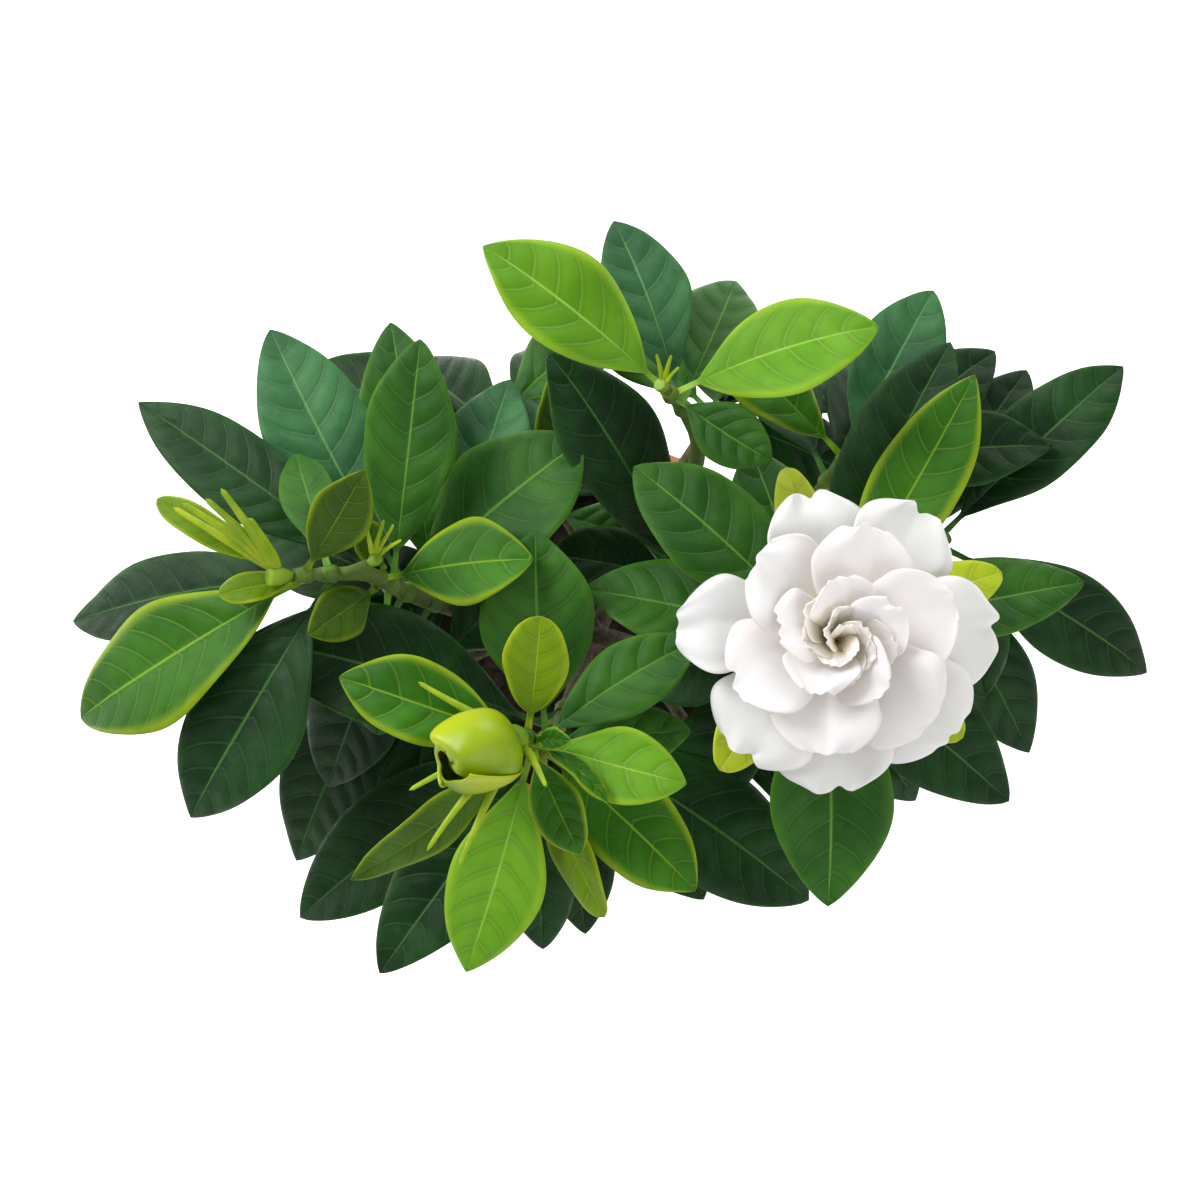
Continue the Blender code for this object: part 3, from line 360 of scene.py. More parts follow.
def leaf_material(tone):
    blade, tone_and_sheen_patch, margin, vein_colour, margin_share, roughness = TONES[tone]
    vein_share = 0.28 if tone in YOUNG_TONES else 0.22
    shade = Shade("leaf_" + tone)
    along, across, vein, midrib, saw = blade_values(shade)
    # Lighter noise patches: partly the leaf's own uneven tone, partly painted sheen.
    patches = shade.step(shade.noise(38.0, 4.0, 0.6), 0.36, 0.66)
    colour = shade.mix(patches, blade, tone_and_sheen_patch)
    dapple = shade.math("MULTIPLY", shade.step(shade.noise(11.0, 2.0), 0.35, 0.65), 0.30)
    colour = shade.mix(dapple, colour, tuple(0.45 * c for c in blade))
    # Darker along the side veins: painted shade in the grooves of the quilted blade.
    hollow = shade.step(saw, 0.24, 0.46)
    colour = shade.mix(shade.math("MULTIPLY", hollow, 0.35), colour, tuple(0.55 * c for c in blade))
    edge = shade.math("MULTIPLY", shade.step(across, 0.74, 1.02), margin_share)
    edge = shade.math("MULTIPLY", edge, shade.math("ADD", shade.noise(70.0, 3.0), 0.45), clamp=True)
    colour = shade.mix(edge, colour, margin)
    colour = shade.mix(shade.math("MULTIPLY", vein, vein_share), colour, vein_colour)
    colour = shade.mix(shade.math("MULTIPLY", midrib, 0.85), colour, vein_colour)
    rim = shade.math("MULTIPLY", shade.step(across, 0.955, 0.995), 0.55)
    colour = shade.mix(rim, colour, tuple(0.5 * (a + b) for a, b in zip(margin, vein_colour)))
    stalk = shade.math("SUBTRACT", 1.0, shade.step(along, 0.05, 0.13))
    colour = shade.mix(stalk, colour, vein_colour)
    gloss = shade.math("MULTIPLY_ADD", shade.noise(160.0, 4.0, 0.6), 0.22)
    shade.feed(gloss.node.inputs[2], roughness - 0.16)
    net = shade.node("TexVoronoi", {"Scale": 620.0}, feature="DISTANCE_TO_EDGE").outputs[0]
    height = shade.math("ADD", shade.math("MULTIPLY", vein, -0.35), shade.math("MULTIPLY", midrib, -0.6))
    height = shade.math("ADD", height, shade.math("MULTIPLY", shade.step(net, 0.0, 0.25), 0.06))
    height = shade.math("ADD", height, shade.math("MULTIPLY", shade.noise(420.0, 3.0), 0.16))
    normal = shade.bump(height, 0.5, 0.0005)
    return shade.finish(colour, gloss, normal, Specular_IOR_Level=0.17)


def underside_material(tone):
    """The paler, duller underside, with raised veins."""
    blade, tone_and_sheen_patch, margin, vein_colour, margin_share, roughness = TONES[tone]
    pale = tuple(0.45 * a + 0.55 * b + 0.02 for a, b in zip(tone_and_sheen_patch, vein_colour))
    shade = Shade("leaf_under_" + tone)
    along, across, vein, midrib, saw = blade_values(shade)
    colour = shade.mix(shade.noise(55.0, 3.0), pale, tuple(0.8 * c for c in pale))
    lines = shade.math("MAXIMUM", vein, midrib)
    colour = shade.mix(shade.math("MULTIPLY", lines, 0.6), colour, tuple(min(1, 1.3 * c) for c in vein_colour))
    height = shade.math("ADD", lines, shade.math("MULTIPLY", shade.noise(500.0), 0.3))
    normal = shade.bump(height, 0.6, 0.0005)
    return shade.finish(colour, 0.62, normal, Specular_IOR_Level=0.2)


def petal_material(name, root_share):
    """Waxy white, creamy towards the root, with faint ribs along the petal."""
    shade = Shade(name)
    blade = shade.node("SeparateXYZ", {0: shade.node("UVMap", uv_map="blade").outputs[0]})
    along, across = blade.outputs[0], blade.outputs[1]
    stretch = shade.node("CombineXYZ", {0: shade.math("MULTIPLY", along, 1.6), 1: shade.math("MULTIPLY", across, 34.0)})
    ribs = shade.node("TexNoise", {"Vector": stretch.outputs[0], "Scale": 1.0, "Detail": 3.0}).outputs[0]
    white = shade.mix(ribs, (0.93, 0.885, 0.865), (0.90, 0.855, 0.83))
    patches = shade.step(shade.noise(60.0, 3.0), 0.45, 0.75)
    white = shade.mix(shade.math("MULTIPLY", patches, 0.3), white, (0.92, 0.870, 0.81))
    root = shade.math("SUBTRACT", 1.0, shade.step(along, 0.02, root_share))
    colour = shade.mix(shade.math("MULTIPLY", root, 0.75), white, (0.86, 0.74, 0.42))
    height = shade.math("ADD", shade.math("MULTIPLY", ribs, 0.7), shade.math("MULTIPLY", shade.noise(300.0), 0.3))
    normal = shade.bump(height, 0.22, 0.0005)
    return shade.finish(colour, 0.52, normal, Subsurface_Weight=0.45, Subsurface_Scale=0.007,
                        Subsurface_Radius=(1.0, 0.8, 0.6), Sheen_Weight=0.08)


def green_material(name, low, high, roughness):
    """Young green skin, mottled between two greens."""
    shade = Shade(name)
    mottle = shade.step(shade.noise(120.0, 4.0, 0.6), 0.35, 0.7)
    colour = shade.mix(mottle, low, high)
    height = shade.noise(500.0, 3.0)
    return shade.finish(colour, roughness, shade.bump(height, 0.3, 0.0004), Specular_IOR_Level=0.25)


def bud_material():
    """Yellow-green petals wound into a bud, greener in the furrows and darker green towards the foot; paler towards
    each petal's lifted free edge, a painted highlight on the crowns.
    """
    shade = Shade("bud_skin")
    blade = shade.node("SeparateXYZ", {0: shade.node("UVMap", uv_map="blade").outputs[0]})
    height, crown = blade.outputs[0], blade.outputs[1]
    green = shade.mix(shade.step(shade.noise(90.0, 3.0), 0.3, 0.7), (0.15, 0.27, 0.002), (0.26, 0.38, 0.003))
    # Paler towards each petal's lifted free edge: a painted highlight.
    colour = shade.mix(shade.step(crown, 0.45, 1.0), green, (0.40, 0.48, 0.008))
    foot = shade.math("SUBTRACT", 1.0, shade.step(height, 0.05, 0.45))
    colour = shade.mix(shade.math("MULTIPLY", foot, 0.6), colour, (0.08, 0.19, 0.003))
    normal = shade.bump(shade.noise(350.0, 3.0), 0.3, 0.0004)
    return shade.finish(colour, 0.38, normal, Specular_IOR_Level=0.3,
                        Subsurface_Weight=0.08, Subsurface_Scale=0.003)


def bark_material():
    """Grey-brown bark low down, turning green towards the shoot tips."""
    shade = Shade("bark_skin")
    place = shade.node("NewGeometry").outputs["Position"]
    height = shade.node("SeparateXYZ", {0: place}).outputs[2]
    age = shade.math("ADD", height, shade.math("MULTIPLY", shade.noise(40.0, 3.0), 0.03))
    green = shade.step(age, 0.205, 0.275)
    fissures = shade.node("Mapping", {"Vector": place, "Scale": (1.0, 1.0, 0.22)}).outputs[0]
    grain = shade.noise(520.0, 6.0, 0.7, fissures)
    wood = shade.mix(shade.step(grain, 0.35, 0.68), (0.050, 0.036, 0.022), (0.180, 0.140, 0.090))
    shoot = shade.mix(grain, (0.060, 0.110, 0.012), (0.140, 0.210, 0.030))
    colour = shade.mix(green, wood, shoot)
    normal = shade.bump(grain, 0.8, 0.0011)
    return shade.finish(colour, 0.78, normal)


def terracotta_material():
    """Fired clay: uneven colour, fine pits and a pale mineral bloom near the foot and rim."""
    shade = Shade("terracotta_skin")
    place = shade.node("NewGeometry").outputs["Position"]
    height = shade.node("SeparateXYZ", {0: place}).outputs[2]
    cloud = shade.step(shade.noise(16.0, 5.0, 0.6), 0.3, 0.72)
    colour = shade.mix(cloud, (0.50, 0.190, 0.090), (0.62, 0.27, 0.145))
    flow = shade.node("Mapping", {"Vector": place, "Scale": (1.0, 1.0, 0.28)}).outputs[0]
    bloom = shade.step(shade.noise(34.0, 6.0, 0.68, flow), 0.52, 0.80)
    low = shade.math("SUBTRACT", 1.0, shade.step(height, 0.004, 0.075))
    bloom = shade.math("MULTIPLY", bloom, shade.math("ADD", shade.math("MULTIPLY", low, 0.55), 0.16), clamp=True)
    colour = shade.mix(bloom, colour, (0.74, 0.60, 0.50))
    specks = shade.step(shade.noise(900.0, 2.0), 0.66, 0.74)
    colour = shade.mix(shade.math("MULTIPLY", specks, 0.3), colour, (0.26, 0.11, 0.06))
    wheel = shade.node("Mapping", {"Vector": place, "Scale": (0.03, 0.03, 1.0)}).outputs[0]
    rings = shade.noise(420.0, 2.0, 0.5, wheel)
    tall = shade.math("ADD", shade.noise(700.0, 4.0, 0.65), shade.math("MULTIPLY", rings, 0.9))
    normal = shade.bump(tall, 0.35, 0.0007)
    return shade.finish(colour, 0.84, normal, Specular_IOR_Level=0.3)


def soil_material(name, dark, pale):
    shade = Shade(name)
    colour = shade.mix(shade.step(shade.noise(260.0, 6.0, 0.7), 0.35, 0.7), dark, pale)
    fibres = shade.step(shade.noise(900.0, 3.0), 0.68, 0.76)
    colour = shade.mix(shade.math("MULTIPLY", fibres, 0.6), colour, (0.10, 0.065, 0.035))
    normal = shade.bump(shade.noise(650.0, 6.0, 0.7), 1.0, 0.0015)
    return shade.finish(colour, 0.95, normal, Specular_IOR_Level=0.25)


def heart_material():
    """Cream stamens with honey-brown tips."""
    shade = Shade("stamen_skin")
    blade = shade.node("SeparateXYZ", {0: shade.node("UVMap", uv_map="blade").outputs[0]})
    colour = shade.mix(shade.step(blade.outputs[0], 0.35, 0.85), (0.80, 0.70, 0.36), (0.50, 0.30, 0.07))
    normal = shade.bump(shade.noise(700.0), 0.3, 0.0003)
    return shade.finish(colour, 0.6, normal)


# ---------------------------------------------------------------- shared shapes
VEIN_SPAN = 20.0


def smooth_path(points, samples):
    """Catmull-Rom curve through the points."""
    ends = [Vector(point) for point in points]
    ends = [2 * ends[0] - ends[1]] + ends + [2 * ends[-1] - ends[-2]]
    path = []
    for index in range(1, len(ends) - 2):
        before, start, end, after = ends[index - 1:index + 3]
        for step in range(samples):
            t = step / samples
            path.append(0.5 * (2 * start + (end - before) * t
                               + (2 * before - 5 * start + 4 * end - after) * t ** 2
                               + (3 * start - before - 3 * end + after) * t ** 3))
    path.append(ends[-2])
    return path


def along(path, below):
    """Place and direction at a distance below the path's tip."""
    left = below
    for index in range(len(path) - 1, 0, -1):
        stretch = path[index] - path[index - 1]
        if left <= stretch.length:
            return path[index] - stretch.normalized() * left, stretch.normalized()
        left -= stretch.length
    raise ValueError("the stem is shorter than %g mm" % below)


def stem_radius(name, path, below):
    foot, tip = [row[2:4] for row in STEMS if row[0] == name][0]
    whole = sum((second - first).length for first, second in zip(path, path[1:]))
    return tip + (foot - tip) * below / whole


def leaf_share(t, blunt=0.8):
    if t <= STALK:
        return 0.0
    return max(0.0, math.sin(math.pi * ((t - STALK) / (1.0 - STALK)) ** WIDEST)) ** blunt


def coarse_leaf_half(t, width, root):
    edge = root / 2 if t < 0.5 else 0.6
    return max(edge, width / 2 * leaf_share(t))


def petal_half(t, width, root):
    widest = 0.62
    if t < widest:
        share = math.sin(math.pi / 2 * t / widest) ** 1.1
    else:
        share = math.sqrt(1.0 - ((t - widest) / 0.41) ** 2)
    return root / 2 + (width / 2 - root / 2) * share


def coarse_rows(stations, half_width, row, root, fold):
    """The CAD blade's middle surface, which tells where it settled."""
    length, width, arch = row[2:5]
    rows = []
    for t in stations:
        half = half_width(t, width, root)
        bow = 4.0 * arch * length * t * (1.0 - t)
        rows.append([Vector((t * length, side * half, bow + fold * abs(side) * half)) for side in (-1, 0, 1)])
    return rows


def blade_frame(row, axis, sideways, place):
    turned, rise, roll = (math.radians(row[index]) for index in (0, 1, 5))
    flat = Matrix.Rotation(turned, 3, axis) @ sideways
    line = math.cos(rise) * flat + math.sin(rise) * axis
    upper = math.cos(rise) * axis - math.sin(rise) * flat
    upper = Matrix.Rotation(roll, 3, line) @ upper
    across = upper.cross(line)
    made = Matrix((line, across, upper)).transposed().to_4x4()
    made.translation = place
    return made


def corner_tree(node_name):
    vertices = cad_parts[node_name].data.vertices
    tree = KDTree(len(vertices))
    for index, vertex in enumerate(vertices):
        tree.insert(vertex.co / MM, index)
    tree.balance()
    return tree


def settled(name, tree, row, reach, make_rows, make_frame):
    """The pose in which the CAD blade stands: the first trial whose corners meet the CAD's."""
    for turned, rise, roll in TRIALS:
        trial = (row[0] + turned, row[1] + rise, *row[2:5], row[5] + roll, *row[6:])
        pose = make_frame(trial)
        rows = make_rows(trial)
        if all(tree.find(pose @ point)[2] < reach for line in reversed(rows[1:]) for point in line):
            return trial, pose
    raise ValueError("no CAD blade found for " + name)


def grid_mesh(name, points, uvs, materials):
    """A sheet of quads through a grid of world points (mm), with one or more UV maps."""
    lines, columns = len(points), len(points[0])
    vertices = [point * MM for line in points for point in line]
    faces = []
    for i in range(lines - 1):
        for j in range(columns - 1):
            corner = i * columns + j
            faces.append((corner, corner + columns, corner + columns + 1, corner + 1))
    mesh = bpy.data.meshes.new(name)
    mesh.from_pydata(vertices, [], faces)
    for label, values in uvs.items():
        layer = mesh.uv_layers.new(name=label)
        flat = [values[loop.vertex_index // columns][loop.vertex_index % columns] for loop in mesh.loops]
        layer.data.foreach_set("uv", [number for pair in flat for number in pair])
    for material in materials:
        mesh.materials.append(material)
    mesh.shade_smooth()
    return mesh


def add_piece(name, mesh, node_name):
    piece = bpy.data.objects.new(name, mesh)
    bpy.context.scene.collection.objects.link(piece)
    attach(piece, "root")
    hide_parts(node_name)
    return piece


def thicken(piece, thickness, offset_material=0):
    solidify = piece.modifiers.new("thickness", "SOLIDIFY")
    solidify.thickness = thickness * MM
    solidify.offset = 0.0
    solidify.material_offset = offset_material
    return solidify


# ---------------------------------------------------------------- leaves
LEAF_LINES = 60
LEAF_COLUMNS = 20
ROOT_REACH = 1.4
LEAF_THICKNESS = 0.5
PUCKER = {"dark": 0.85, "mid": 0.85, "blue": 0.80, "olive": 0.45, "fresh": 0.70, "bright": 0.50, "lime": 0.22,
          "pale": 0.20}


def leaf_points(row, pose, seed):
    """Fine surface of a leaf: arched and folded as the CAD's, with veins, quilting and wavy edges."""
    length, width, arch = row[2:5]
    tone = row[6]
    dice = random.Random(seed)
    wave = dice.uniform(0.5, 1.3) * min(1.0, length / 60.0)
    waves = dice.uniform(1.6, 2.6)
    start = dice.uniform(0.0, math.tau)
    bend = dice.uniform(-0.022, 0.022) * length
    twist = dice.uniform(-0.13, 0.13)
    blunt = 0.5 if tone in ("lime", "pale") else dice.uniform(0.72, 0.86)
    droop = dice.uniform(-0.4, 1.6) * length / 80.0
    lop = dice.uniform(-0.05, 0.05)
    spacing = 8.6 if length > 45 else 5.6
    pairs = max(5.0, round(length * (1.0 - STALK) / spacing))
    points, blade, veins = [], [], []
    inset = -ROOT_REACH / length
    for i in range(LEAF_LINES + 1):
        t = inset + (1.0 - inset) * i / LEAF_LINES
        stalk = STALK_WIDTH / 2 * (1.0 - 0.25 * min(1.0, max(0.0, t / STALK)))
        shape_t = t ** 1.22 if tone == "lime" and t > 0.0 else t
        half = max(stalk if t < 0.5 else 0.12, width / 2 * leaf_share(shape_t, blunt))
        bow = 4.0 * arch * length * t * (1.0 - t)
        tip = max(0.0, (t - 0.8) / 0.2)
        line, blade_line, vein_line = [], [], []
        for j in range(LEAF_COLUMNS + 1):
            side = 2.0 * j / LEAF_COLUMNS - 1.0
            reach = abs(side)
            sweep = half / length * (0.50 * reach + 0.50 * reach ** 3)
            phase = pairs * (t - sweep + (0.03 if side > 0 else 0.0)) + 2.0
            body = min(1.0, max(0.0, (t - STALK) / 0.12)) * min(1.0, (1.0 - t) / 0.10)
            crown = abs(math.sin(math.pi * phase)) ** 0.8 - 0.6
            quilt = PUCKER[tone] * crown * min(1.0, reach * 5.0) * (1.0 - reach ** 4) * body
            groove = -0.35 * math.exp(-(reach / 0.10) ** 2) * body
            fold = LEAF_FOLD * half * (math.sqrt(reach ** 2 + 0.012) - 0.11) - 0.09 * half * reach ** 3
            ripple = wave * reach ** 2.5 * math.sin(math.tau * waves * t + start + (1.6 if side > 0 else 0.0)) * body
            curl = -droop * tip ** 2 - 0.35 * reach ** 6 * body
            edge = 1.0 + lop * (1 if side > 0 else -1) + 0.022 * math.sin(math.tau * 2.3 * t + start + 2.5 * side)
            across = side * half * edge + bend * math.sin(math.pi * max(0.0, t))
            height = bow + fold + quilt + groove + ripple + curl + twist * side * half * t
            line.append(pose @ Vector((t * length, across, height)))
            blade_line.append((t, 0.5 + side / 2))
            vein_line.append((phase / VEIN_SPAN, reach))
        points.append(line)
        blade.append(blade_line)
        veins.append(vein_line)
    return points, {"blade": blade, "veins": veins}


def build_whorl(name, stem, below, leaves, paths):
    place, axis = along(paths[stem], below)
    inner = stem_radius(stem, paths[stem], below) + SHEATH_FIT
    root_radius = inner + SHEATH_WALL * 0.55
    tree = corner_tree(name)

    def make_rows(row):
        return coarse_rows(LEAF_STATIONS, coarse_leaf_half, row, STALK_WIDTH, LEAF_FOLD)

    def make_frame(row):
        pose = blade_frame(row, UP, Vector((1, 0, 0)), place)
        line = pose.col[0].xyz
        outward = (line - line.dot(axis) * axis).normalized()
        pose.translation = place + outward * root_radius
        return pose

    for index, row in enumerate(leaves):
        tone = row[6]
        trial, pose = settled("%s %d" % (name, index + 1), tree, row, 0.75, make_rows, make_frame)
        points, uvs = leaf_points(trial, pose, "%s_%d" % (name, index))
        label = "%s_leaf_%d" % (name, index + 1)
        mesh = grid_mesh(label, points, uvs, (LEAF_SKINS[tone], UNDER_SKINS[tone]))
        thicken(add_piece(label, mesh, name), LEAF_THICKNESS, 1)
    build_sheath(name, place, axis, inner - SHEATH_FIT)


def turned_mesh(name, profile, steps, pose, materials, wobble=0.0, closed=True):
    """A profile of (radius, height) turned about the pose's Z axis; wobble roughens it."""
    lines = []
    for radius, height in profile:
        line = []
        for step in range(steps + 1):
            angle = math.tau * (step % steps) / steps
            around = Vector((math.cos(angle), math.sin(angle), 0.0))
            shake = wobble * noise.noise(around * 1.7 + Vector((0, 0, height * 0.3)))
            line.append(pose @ (around * (radius + shake) + Vector((0, 0, height))))
        lines.append(line)
    if closed:
        lines.append(lines[0])
    uvs = [[(i / (len(lines) - 1), j / steps) for j in range(steps + 1)] for i in range(len(lines))]
    mesh = grid_mesh(name, lines, {"blade": uvs}, materials)
    shape = bmesh.new()
    shape.from_mesh(mesh)
    bmesh.ops.remove_doubles(shape, verts=shape.verts, dist=1e-6)
    bmesh.ops.recalc_face_normals(shape, faces=shape.faces)
    shape.to_mesh(mesh)
    shape.free()
    return mesh


def axis_pose(axis, place):
    return Matrix.Translation(place) @ axis.to_track_quat("Z", "Y").to_matrix().to_4x4()


def build_sheath(name, place, axis, stem):
    """The stipule: a thin sleeve that hugs the stem at a whorl, thicker where the leaves leave it."""
    profile = ((stem - 0.3, -2.6), (stem - 0.3, 3.6), (stem + 0.15, 3.9), (stem + 0.30, 2.6), (stem + 0.75, 0.8),
               (stem + 1.0, -0.8), (stem + 0.6, -2.2))
    mesh = turned_mesh(name + "_sheath", profile, 24, axis_pose(axis, place), (SHOOT_SKIN,), 0.15)
    add_piece(name + "_sheath", mesh, name)


# ---------------------------------------------------------------- flower
PETAL_LINES = 36
PETAL_COLUMNS = 30
# Ruffle, roll of the tip and roll of the sides (mm) of the outer, middle, inner and heart petals.
PETAL_STYLES = ((1.3, 3.8, 2.4), (1.0, 2.8, 1.6), (0.7, 1.6, 0.9), (0.4, 0.6, 0.3))


def petal_points(row, level, pose, seed):
    """Fine surface of a petal: cupped, with rolled edges, ruffled rim and soft creases."""
    length, width, arch = row[2:5]
    cup = row[6]
    dice = random.Random(seed)
    ruffle, tip_roll, edge_roll = PETAL_STYLES[level]
    tip_roll *= dice.uniform(0.5, 1.3)
    edge_roll *= dice.uniform(0.4, 1.4)
    start, second = dice.uniform(0.0, math.tau), dice.uniform(0.0, math.tau)
    notch = dice.uniform(-0.03, 0.09)
    notch_side = dice.uniform(-0.6, 0.6)
    lean = dice.uniform(-0.07, 0.07)
    root = PETAL_ROOTS[min(level, 2)]
    points, uvs = [], []
    for i in range(PETAL_LINES + 1):
        t = math.sin(math.pi / 2 * i / PETAL_LINES) ** 0.9
        half = petal_half(t, width, root) * (1.0 + 0.10 * math.sin(math.pi * max(0.0, (t - 0.55) / 0.45)))
        bow = 4.0 * arch * length * t * (1.0 - t)
        end = max(0.0, (t - 0.68) / 0.32)
        open_part = min(1.0, t / 0.35)
        line, uv_line = [], []
        for j in range(PETAL_COLUMNS + 1):
            side = 2.0 * j / PETAL_COLUMNS - 1.0
            reach = abs(side)
            rim = max(reach ** 3, end ** 2) * open_part
            scallop = notch * math.exp(-((side - notch_side) / 0.22) ** 2) + 0.020 * math.sin(5.0 * side + start)
            round_end = 1.0 - (0.05 * reach ** 2.2 + scallop) * end
            across = side * half * (1.0 + 0.03 * math.sin(9.0 * t + second)) + lean * length * t * t
            hollow = cup * half * reach ** 1.7
            rolled = edge_roll * max(0.0, (reach - 0.6) / 0.4) ** 2 * open_part + tip_roll * end ** 2
            waves = math.sin(4.2 * side + 3.0 * t + start) + 0.55 * math.sin(9.5 * side - 6.0 * t + second)
            crease = 0.35 * math.exp(-((side - 0.5 * notch_side) / 0.12) ** 2) * open_part * (1.0 - end)
            height = bow + hollow - rolled + ruffle * waves * rim - crease
            line.append(pose @ Vector((t * length * round_end, across, height)))
            uv_line.append((t, j / PETAL_COLUMNS))
        points.append(line)
        uvs.append(uv_line)
    return points, {"blade": uvs}


def hub_place(tip, stem_axis, axis, radius):
    tilt = axis.angle(stem_axis)
    return tip + stem_axis * (GAP + radius * HUB_FOOT * math.sin(tilt))


def build_flower(paths):
    tip, stem_axis = along(paths["flower"], 0.0)
    calyx_foot = hub_place(tip, stem_axis, FLOWER_AXIS, CALYX_RADIUS)
    build_hub("flower_calyx", CALYX_RADIUS, CALYX_LENGTH, FLOWER_AXIS, calyx_foot)
    build_lobes("flower_calyx", FLOWER_LOBES, calyx_foot, FLOWER_AXIS, CALYX_LENGTH, CALYX_RADIUS)
    tube_foot = calyx_foot + FLOWER_AXIS * (CALYX_LENGTH + GAP)
    profile = [(0.01, TUBE_LENGTH + 3 * SEAT_RISE - 0.4), (SEAT_RADII[3], TUBE_LENGTH + 3 * SEAT_RISE - 0.5)]
    profile += [(SEAT_RADII[level], TUBE_LENGTH + level * SEAT_RISE - 0.6) for level in (2, 1, 0)]
    profile += [(SEAT_RADII[0] - 0.4, TUBE_LENGTH - 1.4), (5.2, TUBE_LENGTH - 3.2), (3.0, TUBE_LENGTH - 5.4),
                (2.6, TUBE_LENGTH * 0.3), (2.5, 0.0), (0.01, 0.0)]
    mesh = turned_mesh("flower_tube_skin", profile, 32, axis_pose(FLOWER_AXIS, tube_foot), (TUBE_SKIN,), 0.15, False)
    add_piece("flower_tube_skin", mesh, "flower_tube")
    sideways = (Vector((1, 0, 0)) - FLOWER_AXIS.x * FLOWER_AXIS).normalized()
    rings = (("inner_petal", INNER_PETALS, 2), ("middle_petal", MIDDLE_PETALS, 1), ("outer_petal", OUTER_PETALS, 0))
    for ring_name, petals, level in rings:
        height = TUBE_LENGTH + level * SEAT_RISE + GAP + PETAL_THICKNESS / 2
        seat = (SEAT_RADII[level] + SEAT_RADII[level + 1]) / 2
        for index, row in enumerate(petals):
            build_petal("%s_%d" % (ring_name, index + 1), row, level, tube_foot + FLOWER_AXIS * height, seat,
                        sideways)
    build_heart(tube_foot + FLOWER_AXIS * (TUBE_LENGTH + 3 * SEAT_RISE), sideways)


def build_petal(name, row, level, centre, seat, sideways):
    tree = corner_tree(name)

    def make_rows(trial):
        return coarse_rows(PETAL_STATIONS, petal_half, trial, PETAL_ROOTS[level], trial[6])

    def make_frame(trial):
        pose = blade_frame(trial, FLOWER_AXIS, sideways, centre)
        flat = Matrix.Rotation(math.radians(trial[0]), 3, FLOWER_AXIS) @ sideways
        pose.translation = centre + flat * seat + FLOWER_AXIS * abs(math.sin(math.radians(trial[5]))) * 3.0
        return pose

    trial, pose = settled(name, tree, row, 0.7, make_rows, make_frame)
    points, uvs = petal_points(trial, level, pose, name)
    mesh = grid_mesh(name + "_skin", points, uvs, (PETAL_SKINS[level],))
    thicken(add_piece(name + "_skin", mesh, name), 0.4)


HEART_PETALS = 12
GOLDEN_TURN = 137.5


def build_heart(foot, sideways):
    """Small petals whorled round the centre, with a few stamens between them."""
    for index in range(HEART_PETALS):
        share = index / (HEART_PETALS - 1)
        turned = GOLDEN_TURN * index
        row = (turned, 50 + 26 * share, 19.0 - 4.0 * share, 15.0 - 7.0 * share, 0.04, 20, 0.34)
        pose = blade_frame(row, FLOWER_AXIS, sideways, foot)
        flat = Matrix.Rotation(math.radians(turned), 3, FLOWER_AXIS) @ sideways
        pose.translation = foot + flat * (3.0 - 2.4 * share) + FLOWER_AXIS * (2.0 + 3.0 * share)
        name = "heart_petal_%d" % (index + 1)
        points, uvs = petal_points(row, 3, pose, name)
        mesh = grid_mesh(name, points, uvs, (PETAL_SKINS[3],))
        thicken(add_piece(name, mesh, "flower_heart"), 0.35)
    dice = random.Random("stamens")
    pose = axis_pose(FLOWER_AXIS, foot)
    for index in range(6):
        angle = math.tau * index / 6 + 0.4
        lean = Vector((math.cos(angle), math.sin(angle), 0.0)) * dice.uniform(0.15, 0.42)
        axis = (Vector((0, 0, 1)) + lean).normalized()
        profile = ((0.01, 0.0), (0.35, 0.2), (0.30, 7.0), (0.60, 8.5), (0.66, 12.5), (0.35, 14.2), (0.01, 14.6))
        local = pose @ Matrix.Translation(lean * 2.0) @ axis.to_track_quat("Z", "Y").to_matrix().to_4x4()
        name = "stamen_%d" % (index + 1)
        mesh = turned_mesh(name, profile, 10, local, (STAMEN_SKIN,), 0.0, False)
        add_piece(name, mesh, "flower_heart")


# ---------------------------------------------------------------- buds and lobes
def build_hub(name, radius, length, axis, place):
    """A ribbed green cup."""
    profile = ((0.01, 0.0), (radius * 0.45, 0.0), (radius * 0.7, length * 0.25), (radius * 0.95, length * 0.55),
               (radius, length * 0.85), (radius * 0.93, length * 0.98), (radius * 0.8, length), (0.01, length * 0.97))
    mesh = turned_mesh(name + "_cup", profile, 24, axis_pose(axis, place), (BUD_GREEN,), 0.25, False)
    add_piece(name + "_cup", mesh, name)


def build_lobes(name, lobes, foot, axis, cup_length, cup_radius):
    """Narrow green lobes, thick and blunt like fingers; the broad ones are flat blades."""
    centre = foot + axis * cup_length * LOBE_HEIGHT
    for index, row in enumerate(lobes):
        pose = blade_frame(row, UP, Vector((1, 0, 0)), centre)
        line = pose.col[0].xyz
        outward = (line - line.dot(axis) * axis).normalized()
        pose.translation = centre + outward * (cup_radius - LOBE_SINK)
        label = "%s_lobe_%d" % (name, index + 1)
        if row[3] >= 8:
            points, uvs = leaf_points((*row[:6], "lime"), pose, label)
            mesh = grid_mesh(label, points, uvs, (LEAF_SKINS["lime"], UNDER_SKINS["lime"]))
            thicken(add_piece(label, mesh, name), LEAF_THICKNESS, 1)
            continue
        points, uvs = finger_points(row, pose, label)
        add_piece(label, grid_mesh(label, points, {"blade": uvs}, (LOBE_SKIN,)), name)


